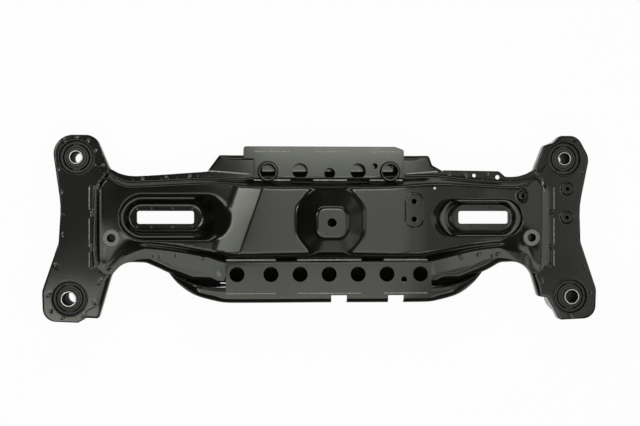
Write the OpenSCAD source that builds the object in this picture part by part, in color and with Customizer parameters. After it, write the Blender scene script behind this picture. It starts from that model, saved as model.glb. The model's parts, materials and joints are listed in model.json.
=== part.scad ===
// Welded pressed-steel subframe with four rubber bushes. X runs along the part, +Y to its rear and +Z up.
// The middle of its length is at the origin, and the sump under the centre stands on z = 0.

/* [Sheet] */
// Thickness of the pressed sheets
sheet_t = 3; // [2:0.5:4]
// Height of the joint between the two shells, at the top of the end plates
joint_z = 70; // [66:1:74]
// Depth of the down-turned skirt round the lower shell
skirt_h = 22; // [14:1:26]

/* [Plateau] */
// Half length of the upper shell, from its middle to its seams
shell_half = 408; // [404:1:412]
// Rise of the plateau above the flanges beside the recesses
end_rise = 12; // [8:1:16]
// Rise of the plateau above the flanges at the centre
centre_rise = 24; // [20:1:28]
// Sideways run of the plateau's walls for each millimetre of rise
wall_run = 0.65; // [0.4:0.05:0.8]
// Width of the lap over each end plate
lap_w = 10; // [6:1:14]

/* [Recesses] */
// Distance of the recesses' outer ends from the seams
recess_setback = 47; // [46:1:53]
// Length of the left recess at its rim
left_recess_len = 190; // [170:1:192]
// Length of the right recess at its rim
right_recess_len = 160; // [150:1:166]
// Width of the left recess at its rim
left_recess_w = 76; // [68:1:80]
// Width of the right recess at its rim
right_recess_w = 68; // [64:1:76]
// Width of the recess floors
recess_floor_w = 52; // [44:1:56]
// Plan width of the recess walls at the outer ends
recess_wall = 10; // [6:1:14]
// Length of the slot in the left recess
left_slot_len = 102; // [80:1:106]
// Length of the slot in the right recess
right_slot_len = 92; // [70:1:96]
// Width of both slots
slot_w = 23; // [16:1:28]
// Place of the recesses' centre line across the part
recess_y = 19; // [16:1:22]

/* [Centre boss] */
// Height of the eight-sided boss above the plateau
boss_h = 30; // [20:1:36]
// Side of its flat square pad
boss_pad = 55; // [46:1:60]
// Corner radius of the pad
boss_pad_r = 15; // [8:1:20]
// Length of the boss at its foot
boss_len = 121; // [110:1:130]
// Width of the boss at its foot
boss_w = 110; // [100:1:112]
// Diameter of the bolt hole in the pad
boss_bore_d = 16; // [10:0.5:20]

/* [Lower shell] */
// Height of the tray's underside beside the sump
tray_z = 45; // [42:1:48]
// Distance of the tray's ends from the seams
tray_setback = 42; // [39:1:44]
// Width of the tray
tray_w = 92; // [90:1:96]
// Length of the sump's flat bottom
sump_len = 356; // [300:1:400]
// Width of the sump's flat bottom
sump_w = 64; // [50:1:68]

/* [Rails] */
// Height of the bridge plates' top face above the joint
bridge_rise = 15; // [13:1:18]
// Depth of the front rail's inner wall
front_wall_h = 60; // [40:1:66]
// Depth of the front rail's outer skirt
front_skirt_h = 14; // [8:1:20]
// Width of the two notches in the front lip
notch_w = 28; // [20:1:34]
// Depth of the notches into the lip
notch_depth = 13; // [8:1:16]
// Length of the back rail
back_rail_len = 288; // [276:1:300]

/* [Bridge plates] */
// Length of the back bridge plate
back_plate_len = 269; // [262:1:276]
// Length of the front bridge plate
front_plate_len = 369; // [360:1:378]
// Inner bend radius of both plates' inner edges
bridge_bend_r = 2.4; // [1:0.2:4]
// Diameter of the large holes in the back bridge plate
back_hole_d = 28; // [20:0.5:32]
// Diameter of the holes in the front bridge plate
front_hole_d = 26.8; // [20:0.2:30]
// Spacing of the front bridge plate's holes
front_pitch = 52; // [46:1:54]
// Outer diameter of the two bridge tubes
bridge_tube_d = 33; // [30:0.5:38]
// Bore of the two bridge tubes
bridge_tube_bore = 27.6; // [20:0.2:29]
// Half spacing of the two bridge tubes
bridge_tube_x = 109.5; // [104:0.5:112]

/* [Mounts] */
// Distance of the rear mounts beyond the seams
rear_mount_out = 32; // [28:1:38]
// Distance of the rear mounts from the middle line
rear_mount_y = 126; // [122:1:130]
// Distance of the front mounts beyond the seams
front_mount_out = 44; // [40:1:50]
// Distance of the front mounts from the middle line
front_mount_y = 125; // [121:1:129]
// Outer diameter of the bush cans
can_d = 64; // [58:1:66]
// Wall of the bush cans
can_t = 1.5; // [1:0.25:2.5]
// Wall of the mount tubes
tube_t = 3; // [2:0.5:4]
// Outer diameter of the rear sleeves
rear_sleeve_d = 24.5; // [22:0.5:28]
// Bore of the rear sleeves
rear_bore_d = 20; // [14:0.5:21]
// Length of the rear sleeves
rear_sleeve_len = 64; // [60:1:70]
// Outer diameter of the front sleeves
front_sleeve_d = 27.5; // [24:0.5:30]
// Bore of the front sleeves
front_bore_d = 23; // [16:0.5:23.5]
// Length of the front sleeves
front_sleeve_len = 80; // [76:1:84]

/* [Spacers and small holes] */
// Outer diameter of the two spacers near the seams
spacer_d = 30; // [24:1:32]
// Bore of the two spacers
spacer_bore = 14.4; // [10:0.2:18]
// Height of the spacers above the plateau beside the recesses
spacer_proud = 2; // [1:0.5:6]
// Diameter of the two holes in the raised pad
pad_hole_d = 9.5; // [6:0.5:12]
// Spacing of the two holes in the raised pad
pad_pitch = 32; // [28:1:36]

/* [Hidden] */
$fn = 64;

paint = "#2e2f2c";
bare_steel = "#b9b9b2";
rubber = "#1b1b1a";

// Clearance round a tube in its hole
hole_gap = 0.2;
// Overlap that makes a cut run clear of a face
cut = 1;
lower_top = joint_z - sheet_t;
lower_bot = lower_top - sheet_t;
tray_top = tray_z + sheet_t;
end_top = joint_z + end_rise;
centre_top = joint_z + centre_rise;
bridge_top = joint_z + bridge_rise;
lip_top = bridge_top - sheet_t;

// Middle of the shells, of the bridge plates and of the front rail along X
shell_x = 2;
bridge_x = 9;
belly_x = 7;

// The outlines below are drawn for this half length, and stretch along X with the shell
drawn_half = 408;
stretch = shell_half / drawn_half;
recess_out_x = shell_half - recess_setback;
tray_len = 2 * (shell_half - tray_setback);
rear_mount_x = shell_half + rear_mount_out;
front_mount_x = shell_half + front_mount_out;

// Half outlines of the upper shell, as distance from its middle and place across the part
seam = drawn_half;
rear_edge = [
    [0, 96], [130, 96], [206, 101], [225, 100], [327, 93], [350, 93.5], [367, 98], [seam - 25, 105],
    [seam - 18, 98], [seam - 9, 88], [seam - 3, 79], [seam, 68]
];
front_edge = [
    [0, -92], [176, -88], [210, -84], [237, -81], [264, -71], [280, -64], [297, -57], [322, -55], [345, -59],
    [364, -67], [seam - 26, -83], [seam - 10, -78], [seam, -65]
];
rear_shoulder = [
    [0, 73], [120, 75], [200, 80], [300, 76], [340, 74], [354, 75], [370, 81], [seam - 22, 89],
    [seam - 8, 70], [seam, 54]
];
front_shoulder = [
    [0, -46], [150, -48], [178, -47], [216, -41], [272, -31], [335, -26], [362, -34], [seam - 24, -58],
    [seam - 8, -58], [seam, -50]
];

// Half outlines of the front rail, in the same way
rail_end = 288 * stretch;
rail_outer = [
    [0, -133.5], [172, -133.5], [192, -132], [214, -127], [236, -120], [253, -111], [274, -95], [295, -79]
];
rail_inner = [[0, -106], [197, -106], [222, -103], [243, -97], [263, -89], [287, -80], [307, -70]];
// Where the lower shell's front edge starts and stops to follow the rail
slit_edge_x = 243 * stretch;
slit_end_x = 300 * stretch;

function clamp(v) = min(max(v, 0), 1);
function ease(a, b, x) = let (u = clamp((x - a) / (b - a))) u * u * (3 - 2 * u);
function unit(v) = v / norm(v);
function flip(list) = [for (i = [len(list) - 1:-1:0]) list[i]];

// Slope of a curve at its point k, level at the part's middle
function slope(t, k) =
    k == 0 ? 0 :
    let (a = t[k - 1], b = t[min(k + 1, len(t) - 1)]) (b[1] - a[1]) / (b[0] - a[0]);

// Smooth curve through the points of t, as a function of u
function curve(t, u) =
    let (
        k = max([for (i = [0:len(t) - 2]) if (t[i][0] <= u || i == 0) i]),
        w = t[k + 1][0] - t[k][0],
        s = clamp((u - t[k][0]) / w),
        a = t[k][1],
        b = t[k + 1][1],
        ma = slope(t, k) * w,
        mb = slope(t, k + 1) * w
    )
    a * (1 - s) * (1 - s) * (1 + 2 * s) + b * s * s * (3 - 2 * s)
    + ma * s * (1 - s) * (1 - s) - mb * s * s * (1 - s);

// The same curve along the stretched part, at a distance u from its middle
function along(t, u) = curve(t, u / stretch);

// Points of the corner at q, rounded by radius r between its neighbours p and s
function corner(p, q, s, r) =
    r == 0 ? [q] :
    let (
        u = unit(p - q),
        v = unit(s - q),
        half = acos(u * v) / 2,
        c = q + unit(u + v) * r / sin(half),
        a = q + u * r / tan(half) - c,
        b = q + v * r / tan(half) - c,
        a0 = atan2(a[1], a[0]),
        turn = atan2(a[0] * b[1] - a[1] * b[0], a * b),
        n = max(2, ceil(abs(turn) / 15))
    )
    [for (i = [0:n]) c + r * [cos(a0 + turn * i / n), sin(a0 + turn * i / n)]];

// Closed outline through corners given as [x, y, radius]
function rounded(list) =
    let (n = len(list), p = [for (c = list) [c[0], c[1]]])
    [for (i = [0:n - 1]) for (q = corner(p[(i + n - 1) % n], p[i], p[(i + 1) % n], list[i][2])) q];

// A line of points moved to its right by t, with mitred corners
function offset_line(line, t) =
    let (
        n = len(line),
        d = [for (i = [0:n - 2]) unit(line[i + 1] - line[i])],
        normal = [for (v = d) [v[1], -v[0]]]
    )
    [
        for (i = [0:n - 1])
            let (a = normal[max(i - 1, 0)], b = normal[min(i, n - 2)])
            line[i] + t * (a + b) / (1 + a * b)
    ];

// Rise of the plateau above the flanges at x: it fades out at the seams and steps up to the centre
left_ramp = [-168, -122] * stretch;
right_ramp = [202, 178] * stretch;
end_wall = 16;
end_land = 2;
function plateau_rise(x) =
    let (ramp = x < shell_x ? left_ramp : right_ramp)
    end_rise * ease(shell_half - end_land, shell_half - end_land - end_wall, abs(x - shell_x))
    + (centre_rise - end_rise) * ease(ramp[0], ramp[1], x);

// Upper face of the shell's section at x, from the front edge to the rear one
bend = 4;
least_run = 2;
function section(x) =
    let (
        u = abs(x - shell_x),
        rise = plateau_rise(x),
        run = max(wall_run * rise, least_run),
        f = along(front_shoulder, u),
        r = along(rear_shoulder, u),
        low = joint_z + rise / 4,
        high = joint_z + rise * 3 / 4,
        top = joint_z + rise
    )
    [
        [along(front_edge, u), joint_z],
        [f - run - bend, joint_z],
        [f - run * 3 / 4, low],
        [f - run / 4, high],
        [f + bend, top],
        [r - bend, top],
        [r + run / 4, high],
        [r + run * 3 / 4, low],
        [r + run + bend, joint_z],
        [along(rear_edge, u), joint_z]
    ];

// Places along X of the shell's sections, closer together near the seams
end_zone = 44;
end_steps = 14;
mid_steps = 60;
mid_half = shell_half - end_zone;
stations = concat(
    [for (i = [0:end_steps - 1]) shell_x - shell_half + end_zone * i / end_steps],
    [for (i = [0:mid_steps]) shell_x - mid_half + 2 * mid_half * i / mid_steps],
    [for (i = [1:end_steps]) shell_x + mid_half + end_zone * i / end_steps]
);

// A bent sheet of thickness t whose upper face runs through one line of points at each place along X
module sheet_loft(xs, lines, t) {
    k = len(lines[0]);
    m = 2 * k;
    last = (len(xs) - 1) * m;
    points = [
        for (i = [0:len(xs) - 1])
            for (p = concat(lines[i], flip(offset_line(lines[i], t))))
                [xs[i], p[0], p[1]]
    ];
    sides = [
        for (i = [0:len(xs) - 2])
            for (j = [0:m - 1])
                let (a = i * m + j, b = i * m + (j + 1) % m)
                for (f = [[a, b, b + m], [a, b + m, a + m]])
                    f
    ];
    first_end = [
        for (j = [0:k - 2])
            for (f = [[j, m - 1 - j, m - 2 - j], [j, m - 2 - j, j + 1]])
                f
    ];
    last_end = [for (f = first_end) [last + f[2], last + f[1], last + f[0]]];
    polyhedron(points, concat(sides, first_end, last_end));
}

// A solid through convex rings of points, given from the lowest to the highest
module ring_loft(rings) {
    m = len(rings[0]);
    top = (len(rings) - 1) * m;
    points = [for (ring = rings) for (p = ring) p];
    sides = [
        for (i = [0:len(rings) - 2])
            for (j = [0:m - 1])
                let (a = i * m + j, b = i * m + (j + 1) % m)
                for (f = [[a, b + m, b], [a, a + m, b + m]])
                    f
    ];
    caps = [
        for (j = [1:m - 2])
            for (f = [[0, j, j + 1], [top, top + j + 1, top + j]])
                f
    ];
    polyhedron(points, concat(sides, caps));
}

// Ring of a slot with round ends, from x0 to x1 at height z
ring_steps = 10;
function slot_ring(x0, x1, w, z) =
    let (r = w / 2)
    [
        for (end = [[x1 - r, -90], [x0 + r, 90]])
            for (i = [0:ring_steps])
                let (a = end[1] + 180 * i / ring_steps)
                [end[0] + r * cos(a), recess_y + r * sin(a), z]
    ];

// Ring of a rectangle round the point c at height z, with corners that run from cut (0) to round (1)
function boss_ring(c, len, w, cut_x, cut_y, round, z) =
    [
        for (q = [[1, -1, -90], [1, 1, 0], [-1, 1, 90], [-1, -1, 180]])
            for (i = [0:ring_steps])
                let (
                    s = i / ring_steps,
                    swap = q[0] * q[1] > 0,
                    straight = swap ? [cut_x * s, cut_y * (1 - s)] : [cut_x * (1 - s), cut_y * s],
                    a = q[2] + 90 * s,
                    arc = [cut_x * (1 - abs(cos(a))), cut_y * (1 - abs(sin(a)))],
                    in = round * arc + (1 - round) * straight
                )
                [c[0] + q[0] * (len / 2 - in[0]), c[1] + q[1] * (w / 2 - in[1]), z]
    ];

// Recesses: the outer end, the inner end, the rim's width and the inner slope's run of each side
left_recess = [-recess_out_x, left_recess_len - recess_out_x, left_recess_w, 40];
right_recess = [recess_out_x - right_recess_len, recess_out_x, right_recess_w, 28];
// Height of the round foot and depth of the round rim of a recess wall
recess_foot = 4;
recess_lip = 5;
// Rings of a recess, grown by g and with its floor lowered by g, up to height top
function recess_rings(rec, g, top) =
    let (
        left = rec[0] < 0,
        x0 = rec[0] + (left ? recess_wall : rec[3]),
        x1 = rec[1] - (left ? rec[3] : recess_wall),
        low = tray_top + sheet_t - g,
        wide = rec[2] + 2 * g,
        narrow = recess_floor_w + 2 * g,
        a = rec[0] - g,
        b = rec[1] + g
    )
    [
        slot_ring(x0 - g + recess_foot, x1 + g - recess_foot, narrow - 2 * recess_foot, low),
        slot_ring(x0 - g, x1 + g, narrow, low + recess_foot),
        slot_ring(a + recess_lip, b - recess_lip, wide - 2 * recess_lip, end_top - recess_lip),
        slot_ring(a, b, wide, end_top),
        slot_ring(a, b, wide, end_top + top)
    ];
function shut(rings) = [for (i = [0:len(rings) - 2]) rings[i]];

// Slots through the recess floors and the tray under them, as the outer end and the inner end
slot_setback = 24;
left_slot = [slot_setback + 2 - recess_out_x, slot_setback + 2 - recess_out_x + left_slot_len];
right_slot = [recess_out_x - slot_setback + 4 - right_slot_len, recess_out_x - slot_setback + 4];
slot_r = 4;
module slots() {
    for (s = [left_slot, right_slot])
        translate([0, 0, tray_z - cut])
            linear_extrude(2 * sheet_t + 2 * cut)
                polygon(rounded([
                    [s[0], recess_y - slot_w / 2, slot_r],
                    [s[1], recess_y - slot_w / 2, slot_r],
                    [s[1], recess_y + slot_w / 2, slot_r],
                    [s[0], recess_y + slot_w / 2, slot_r]
                ]));
}

boss_at = [11, 10];
boss_cut = [22, 30];
boss_bulge = 0.15;
function boss_rings(inset, foot, top) =
    let (l = boss_len - 2 * inset, w = boss_w - 2 * inset, pad = boss_pad - 2 * inset)
    [
        boss_ring(boss_at, l, w, boss_cut[0], boss_cut[1], boss_bulge, foot),
        boss_ring(boss_at, l, w, boss_cut[0], boss_cut[1], boss_bulge, centre_top - inset),
        boss_ring(boss_at, pad, pad, boss_pad_r, boss_pad_r, 1, top)
    ];

// Holes of the upper shell, as place and diameter
spacer_x = shell_half - 31;
spacer_y = -17.5;
pad_at = [161 * stretch, 32];
pad_size = [33, 61];
pad_rise = 1.5;
stud_at = [shell_half - 48, 58];
stud_d = 19;
stud_h = 5;
small_holes = [
    [274 * stretch, 95, 6.5], [317 * stretch, 92, 8], [199 * stretch, 71, 5], [stud_at[0], stud_at[1], 7]
];
module drill(at, d) {
    translate([at[0], at[1], 0])
        cylinder(h = centre_top + boss_h + cut, d = d);
}

// Flange tab on the right of the shell's rear edge
tab_out = shell_half - 72;
tab_in = tab_out - 130 * stretch;
tab = [
    [tab_in, 88, 0], [tab_out, 88, 0], [tab_out - 5, 93, 3], [tab_out - 14, 103, 5], [tab_in + 8, 105, 10]
];

// Rear and front ends of a lap, at the shell and at its free edge, and how far it starts inside the shell
lap_root = [70, -66];
lap_tip = [78, -74];
lap_start = 3;
module lap(side) {
    x = shell_x + side * shell_half;
    translate([0, 0, joint_z])
        linear_extrude(sheet_t)
            polygon([
                [x - side * lap_start, lap_root[1]], [x + side * lap_w, lap_tip[1]],
                [x + side * lap_w, lap_tip[0]], [x - side * lap_start, lap_root[0]]
            ]);
}

module pad_outline() {
    w = pad_size[0];
    l = pad_size[1];
    polygon(rounded([
        [pad_at[0] - w / 2, pad_at[1] - l / 2, w / 2 - 2],
        [pad_at[0] + w / 2, pad_at[1] - l / 2, w / 2 - 2],
        [pad_at[0] + w / 2, pad_at[1] + l / 2, w / 2 - 2],
        [pad_at[0] - w / 2, pad_at[1] + l / 2, w / 2 - 2]
    ]));
}

module upper_shell() {
    color(paint)
        difference() {
            union() {
                sheet_loft(stations, [for (x = stations) section(x)], sheet_t);
                for (rec = [left_recess, right_recess])
                    ring_loft(shut(recess_rings(rec, sheet_t, 0)));
                ring_loft(boss_rings(0, centre_top - sheet_t, centre_top + boss_h));
                for (side = [-1, 1])
                    lap(side);
                translate([0, 0, lower_top])
                    linear_extrude(sheet_t)
                        polygon(rounded(tab));
                translate([0, 0, centre_top])
                    linear_extrude(pad_rise)
                        pad_outline();
                translate([stud_at[0], stud_at[1], end_top - sheet_t])
                    cylinder(h = sheet_t + stud_h, d1 = stud_d + 4, d2 = stud_d - 5);
            }
            for (rec = [left_recess, right_recess])
                ring_loft(recess_rings(rec, 0, cut));
            ring_loft(boss_rings(sheet_t, centre_top - 3 * sheet_t, centre_top + boss_h - sheet_t));
            slots();
            drill(boss_at, boss_bore_d);
            for (side = [-1, 1]) {
                drill([pad_at[0], pad_at[1] + side * pad_pitch / 2], pad_hole_d);
                drill([side * spacer_x, spacer_y], spacer_d + 2 * hole_gap);
            }
            for (h = small_holes)
                drill(h, h[2]);
        }
}

// Ear outlines, as steps from the mount centres: the rear and the front ear of each side
waist = shell_half + 59;
lrx = -rear_mount_x;
lfx = -front_mount_x;
rrx = rear_mount_x;
rfx = front_mount_x;
ry = rear_mount_y;
fy = -front_mount_y;
left_rear_ear = [[lrx + 33, ry + 40, 24], [lrx - 45, ry + 40, 34], [-waist, 40, 150]];
left_front_ear = [
    [-waist - 4, -26, 12], [lfx - 48, fy + 13, 30], [lfx - 46, fy - 40, 24], [lfx + 15, fy - 43, 5]
];
right_front_ear = [
    [rfx - 19, fy - 43, 5], [rfx + 46, fy - 40, 24], [rfx + 48, fy + 13, 30], [waist + 4, -26, 12]
];
right_rear_ear = [
    [waist + 2, 40, 150], [rrx + 47, ry + 2, 30], [rrx + 25, ry + 42, 24], [rrx - 6, ry + 42, 6],
    [rrx - 19, ry + 29, 6], [rrx - 35, ry + 25, 8]
];

// Seam of an end plate against the shell, from the front to the rear, with a small gap
seam_gap = 0.5;
function seam_points(side, front, rear) =
    let (x = shell_x + side * (shell_half + seam_gap))
    [
        [front[0], front[1], 0], [x - side * 9, -79, 4], [x, lap_root[1], 8],
        [x, lap_root[0], 8], [x - side * 3.4, 81.6, 4], [rear[0], rear[1], 0]
    ];

left_plate_points = concat(
    left_rear_ear,
    left_front_ear,
    [[lfx + 28, fy - 36, 3], [lfx + 31, fy - 23, 5], [lfx + 48, fy - 14, 8], [lfx + 57, fy + 24, 10]],
    seam_points(-1, [shell_x - shell_half + 24, -85], [shell_x - shell_half + 24, 107])
);
right_plate_points = concat(
    flip(seam_points(1, [shell_x + shell_half - 24, -85], [shell_x + shell_half - 24, 108])),
    [[rfx - 58, fy + 20, 10], [rfx - 55, fy, 4], [rfx - 42, fy - 2, 6], [rfx - 28, fy - 25, 8]],
    right_front_ear,
    right_rear_ear
);

tube_d = can_d + 2 * tube_t;
mounts = [[lrx, ry], [rrx, ry], [lfx, fy], [rfx, fy]];
module mount_holes() {
    for (m = mounts)
        drill(m, tube_d + 2 * hole_gap);
}

// Dimples with a small hole in the right end plate
dimples = [[shell_half + 38, 71], [shell_half + 37, 19]];
dimple_d = 24;
dimple_h = 3;
dimple_hole_d = 7;
module dimple(at, z, grow) {
    translate([at[0], at[1], z])
        cylinder(h = sheet_t + dimple_h, d1 = dimple_d + grow, d2 = dimple_d - 7 + grow);
}

module end_plate(points) {
    translate([0, 0, lower_top])
        linear_extrude(sheet_t)
            polygon(rounded(points));
}

module left_end_plate() {
    color(paint)
        difference() {
            end_plate(left_plate_points);
            mount_holes();
        }
}

module right_end_plate() {
    color(paint)
        difference() {
            union() {
                end_plate(right_plate_points);
                for (at = dimples)
                    dimple(at, lower_top, 0);
            }
            mount_holes();
            for (at = dimples) {
                dimple(at, lower_top - sheet_t, -2);
                drill(at, dimple_hole_d);
            }
        }
}

// Outline of the lower shell: ears, arches, the front edge beside the rail and the rear edge
function slit_side(side, order) =
    [
        for (u = order)
            [belly_x + side * u, along(rail_inner, u) + seam_gap, 0]
    ];
slit_places = [for (i = [0:5]) slit_edge_x + (slit_end_x - slit_edge_x) * i / 5];
arm_end = 215 * stretch;
lower_points = concat(
    [[81 - shell_half, 92, 60], [32 - shell_half, 92, 34]],
    left_rear_ear,
    left_front_ear,
    [[lfx + 29, fy - 35, 5], [lfx + 51, fy - 36, 5]],
    [[36 - shell_half, -60, 40], [90 * stretch - shell_half, -62, 24]],
    slit_side(-1, flip(slit_places)),
    slit_side(1, slit_places),
    [[shell_half - 84 * stretch, -63, 24], [shell_half - 32, -61, 40]],
    [[rfx - 57, fy - 1, 5], [rfx - 42, fy - 2, 5], [rfx - 28, fy - 25, 8]],
    right_front_ear,
    right_rear_ear,
    [[shell_half - 27, 92, 30], [shell_half - 66, 84, 20], [arm_end + 11, 84, 6]],
    [[arm_end, 98, 0], [-arm_end, 98, 0]]
);
arm_points = [
    [1 - arm_end, 94, 0], [28 - arm_end, 131, 5], [arm_end - 23, 131, 6], [arm_end - 17, 114, 8],
    [arm_end + 1, 104, 8], [arm_end + 7, 94, 0]
];
arm_skirt_h = 12;

tray_mid = [2, 24];
tray_r = 34;
module tray_outline(grow) {
    l = tray_len / 2 + grow;
    w = tray_w / 2 + grow;
    polygon(rounded([
        [tray_mid[0] - l, tray_mid[1] - w, tray_r + grow],
        [tray_mid[0] + l, tray_mid[1] - w, tray_r + grow],
        [tray_mid[0] + l, tray_mid[1] + w, tray_r + grow],
        [tray_mid[0] - l, tray_mid[1] + w, tray_r + grow]
    ]));
}

// Rings of the sump, grown by g at its walls and raised by lift at its bottom
sump_run = 40;
sump_side_run = 12;
sump_r = 26;
sump_foot = 6;
function sump_rings(g, lift, top) =
    let (c = [belly_x, tray_mid[1]], l = sump_len + 2 * g, w = sump_w + 2 * g)
    [
        boss_ring(c, l - 2 * sump_foot, w - 2 * sump_foot, sump_r - sump_foot, sump_r - sump_foot, 1, lift),
        boss_ring(c, l, w, sump_r, sump_r, 1, lift + sump_foot),
        boss_ring(c, l + sump_run, w + sump_side_run, sump_r, sump_r, 1, top)
    ];

module lower_shell() {
    color(paint)
        difference() {
            union() {
                difference() {
                    union() {
                        translate([0, 0, lower_bot])
                            linear_extrude(sheet_t)
                                polygon(rounded(lower_points));
                        translate([0, 0, lower_top - skirt_h])
                            linear_extrude(skirt_h)
                                difference() {
                                    polygon(rounded(lower_points));
                                    offset(delta = -sheet_t)
                                        polygon(rounded(lower_points));
                                }
                        translate([0, 0, lower_bot])
                            linear_extrude(sheet_t)
                                polygon(rounded(arm_points));
                        translate([arm_points[1][0] + 6, arm_points[1][1] - sheet_t, lower_top - arm_skirt_h])
                            cube([arm_points[2][0] - arm_points[1][0] - 12, sheet_t, arm_skirt_h]);
                        translate([0, 0, tray_z])
                            linear_extrude(lower_top - tray_z)
                                tray_outline(sheet_t);
                    }
                    translate([0, 0, tray_top])
                        linear_extrude(lower_top)
                            tray_outline(0);
                }
                ring_loft(sump_rings(sheet_t, 0, tray_top));
            }
            ring_loft(sump_rings(0, sheet_t, tray_top + cut));
            slots();
            mount_holes();
        }
}

// Plan of the front rail between its outer and inner curves
rail_steps = 40;
rail_places = [for (i = [0:rail_steps]) rail_end * (2 * i / rail_steps - 1)];
function rail_line(t) = [for (x = rail_places) [belly_x + x, along(t, abs(x))]];
module rail_plan() {
    polygon(concat(rail_line(rail_outer), flip(rail_line(rail_inner))));
}
// The strip of the plan that is within a sheet's thickness of one of the two curves
module rail_strip(t, side) {
    shift = [for (p = rail_line(t)) p + [0, side * 40]];
    intersection() {
        rail_plan();
        offset(delta = sheet_t)
            polygon(concat(rail_line(t), flip(shift)));
    }
}
notch_x = [27, 129.5];
// The rail's foot, which reaches under the lower shell's edge and leaves a narrow slit in the middle
rail_foot_w = 4;
rail_foot_wide = 12;
rail_foot_end = 250 * stretch;
slit_stop = [190 * stretch, 206 * stretch];
rail_foot_places = [for (x = rail_places) if (abs(x) < rail_foot_end) x];
function rail_foot_reach(u) =
    rail_foot_w + (rail_foot_wide - rail_foot_w) * ease(slit_stop[0], slit_stop[1], u);
function rail_foot_line(root) =
    [
        for (x = rail_foot_places)
            let (u = abs(x))
            [belly_x + x, along(rail_inner, u) + (root ? -sheet_t / 2 : rail_foot_reach(u))]
    ];
module rail_foot() {
    polygon(concat(rail_foot_line(true), flip(rail_foot_line(false))));
}

module front_rail() {
    color(paint)
        difference() {
            union() {
                translate([0, 0, lip_top - sheet_t])
                    linear_extrude(sheet_t)
                        rail_plan();
                translate([0, 0, lip_top - front_wall_h])
                    linear_extrude(front_wall_h)
                        rail_strip(rail_inner, 1);
                translate([0, 0, lip_top - front_skirt_h])
                    linear_extrude(front_skirt_h)
                        rail_strip(rail_outer, -1);
                translate([0, 0, lip_top - front_wall_h])
                    linear_extrude(sheet_t)
                        rail_foot();
            }
            for (x = notch_x)
                translate([x - notch_w / 2, rail_outer[0][1] - cut, lip_top - front_skirt_h - cut])
                    cube([notch_w, notch_depth + cut, front_skirt_h + 2 * cut]);
        }
}

// Back rail: a wall that stands on the lower shell's arms and a lip that carries the bridge plate
back_lip_y = 146;
back_wall_y = 124;
// Middle of the back rail, left of the bridge plates' middle
back_rail_x = bridge_x - 9;
back_cut = [16, 6];
module back_rail() {
    x0 = back_rail_x - back_rail_len / 2;
    color(paint) {
        translate([0, 0, lip_top - sheet_t])
            linear_extrude(sheet_t)
                polygon(rounded([
                    [x0, back_wall_y, 0],
                    [x0 + back_rail_len, back_wall_y, 0],
                    [x0 + back_rail_len, back_lip_y - back_cut[1], 4],
                    [x0 + back_rail_len - back_cut[0], back_lip_y, 12],
                    [x0, back_lip_y, 5]
                ]));
        translate([x0, back_wall_y, lower_top])
            cube([back_rail_len, sheet_t, lip_top - lower_top]);
    }
}

// Face of the plateau's wall at the height of a bridge plate's foot, in the middle of the part
foot_z = bridge_top - sheet_t - bridge_bend_r;
foot_gap = 0.2;
wall_out = wall_run * (centre_top - foot_z);
back_foot_y = max([for (u = [0:10:150]) along(rear_shoulder, u)]) + wall_out + foot_gap;
front_foot_y = min([for (u = [0:10:200]) along(front_shoulder, u)]) - wall_out - foot_gap;
back_plate_y = 135.5;
front_plate_y = -115.5;

// Bent plate along X: flat from the bend to the outer edge, with its inner edge turned down on to the shell
module bent_plate(len, foot, outer) {
    r = bridge_bend_r + sheet_t;
    side = outer > foot ? 1 : -1;
    mid = foot + side * r;
    translate([bridge_x - len / 2, 0, 0]) {
        translate([0, min(mid, outer), bridge_top - sheet_t])
            cube([len, abs(outer - mid), sheet_t]);
        translate([0, mid, foot_z])
            rotate([90, 0, 90])
                rotate([0, 0, side > 0 ? 90 : 0])
                    linear_extrude(len)
                        intersection() {
                            difference() {
                                circle(r = r);
                                circle(r = bridge_bend_r);
                            }
                            square(r);
                        }
    }
}

tube_y = 101;
back_holes = [[-52, 102, back_hole_d], [52, 102, back_hole_d], [1, 98, 19.5], [82, 111, 10.6]];
module back_bridge_plate() {
    color(paint)
        difference() {
            bent_plate(back_plate_len, back_foot_y, back_plate_y);
            for (h = back_holes)
                drill([bridge_x + h[0], h[1]], h[2]);
            for (side = [-1, 1])
                drill([bridge_x + side * bridge_tube_x, tube_y], bridge_tube_d + 2 * hole_gap);
        }
}

front_row_y = -82.5;
front_last = 164.5;
front_drain = [bridge_x + 135, front_row_y - 9.5];
front_drain_d = 10;
front_places = concat([for (i = [-2:2]) i * front_pitch], [-front_last, front_last]);
module front_bridge_plate() {
    color(paint)
        difference() {
            bent_plate(front_plate_len, front_foot_y, front_plate_y);
            for (x = front_places)
                drill([bridge_x + x, front_row_y], front_hole_d);
            drill(front_drain, front_drain_d);
        }
}

tube_proud = 6;
tube_below = 1;
module bridge_tube(side) {
    color(paint)
        translate([bridge_x + side * bridge_tube_x, tube_y, bridge_top - sheet_t - tube_below])
            difference() {
                cylinder(h = tube_below + sheet_t + tube_proud, d = bridge_tube_d);
                translate([0, 0, -cut])
                    cylinder(h = tube_below + sheet_t + tube_proud + 2 * cut, d = bridge_tube_bore);
            }
}
module left_bridge_tube() {
    bridge_tube(-1);
}
module right_bridge_tube() {
    bridge_tube(1);
}

module spacer(side) {
    h = end_top + spacer_proud - lower_top;
    color(paint)
        translate([side * spacer_x, spacer_y, lower_top])
            difference() {
                cylinder(h = h, d = spacer_d);
                translate([0, 0, -cut])
                    cylinder(h = h + 2 * cut, d = spacer_bore);
            }
}
module left_spacer() {
    spacer(-1);
}
module right_spacer() {
    spacer(1);
}

// Heights of the bushes: the sleeve's lower end and the lower end of the mount tube, rear and front
rear_sleeve_z = 10;
front_sleeve_z = 0;
rear_tube_z = 24;
front_tube_z = 14;
tube_top = joint_z + 1;
can_over = 1;

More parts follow.
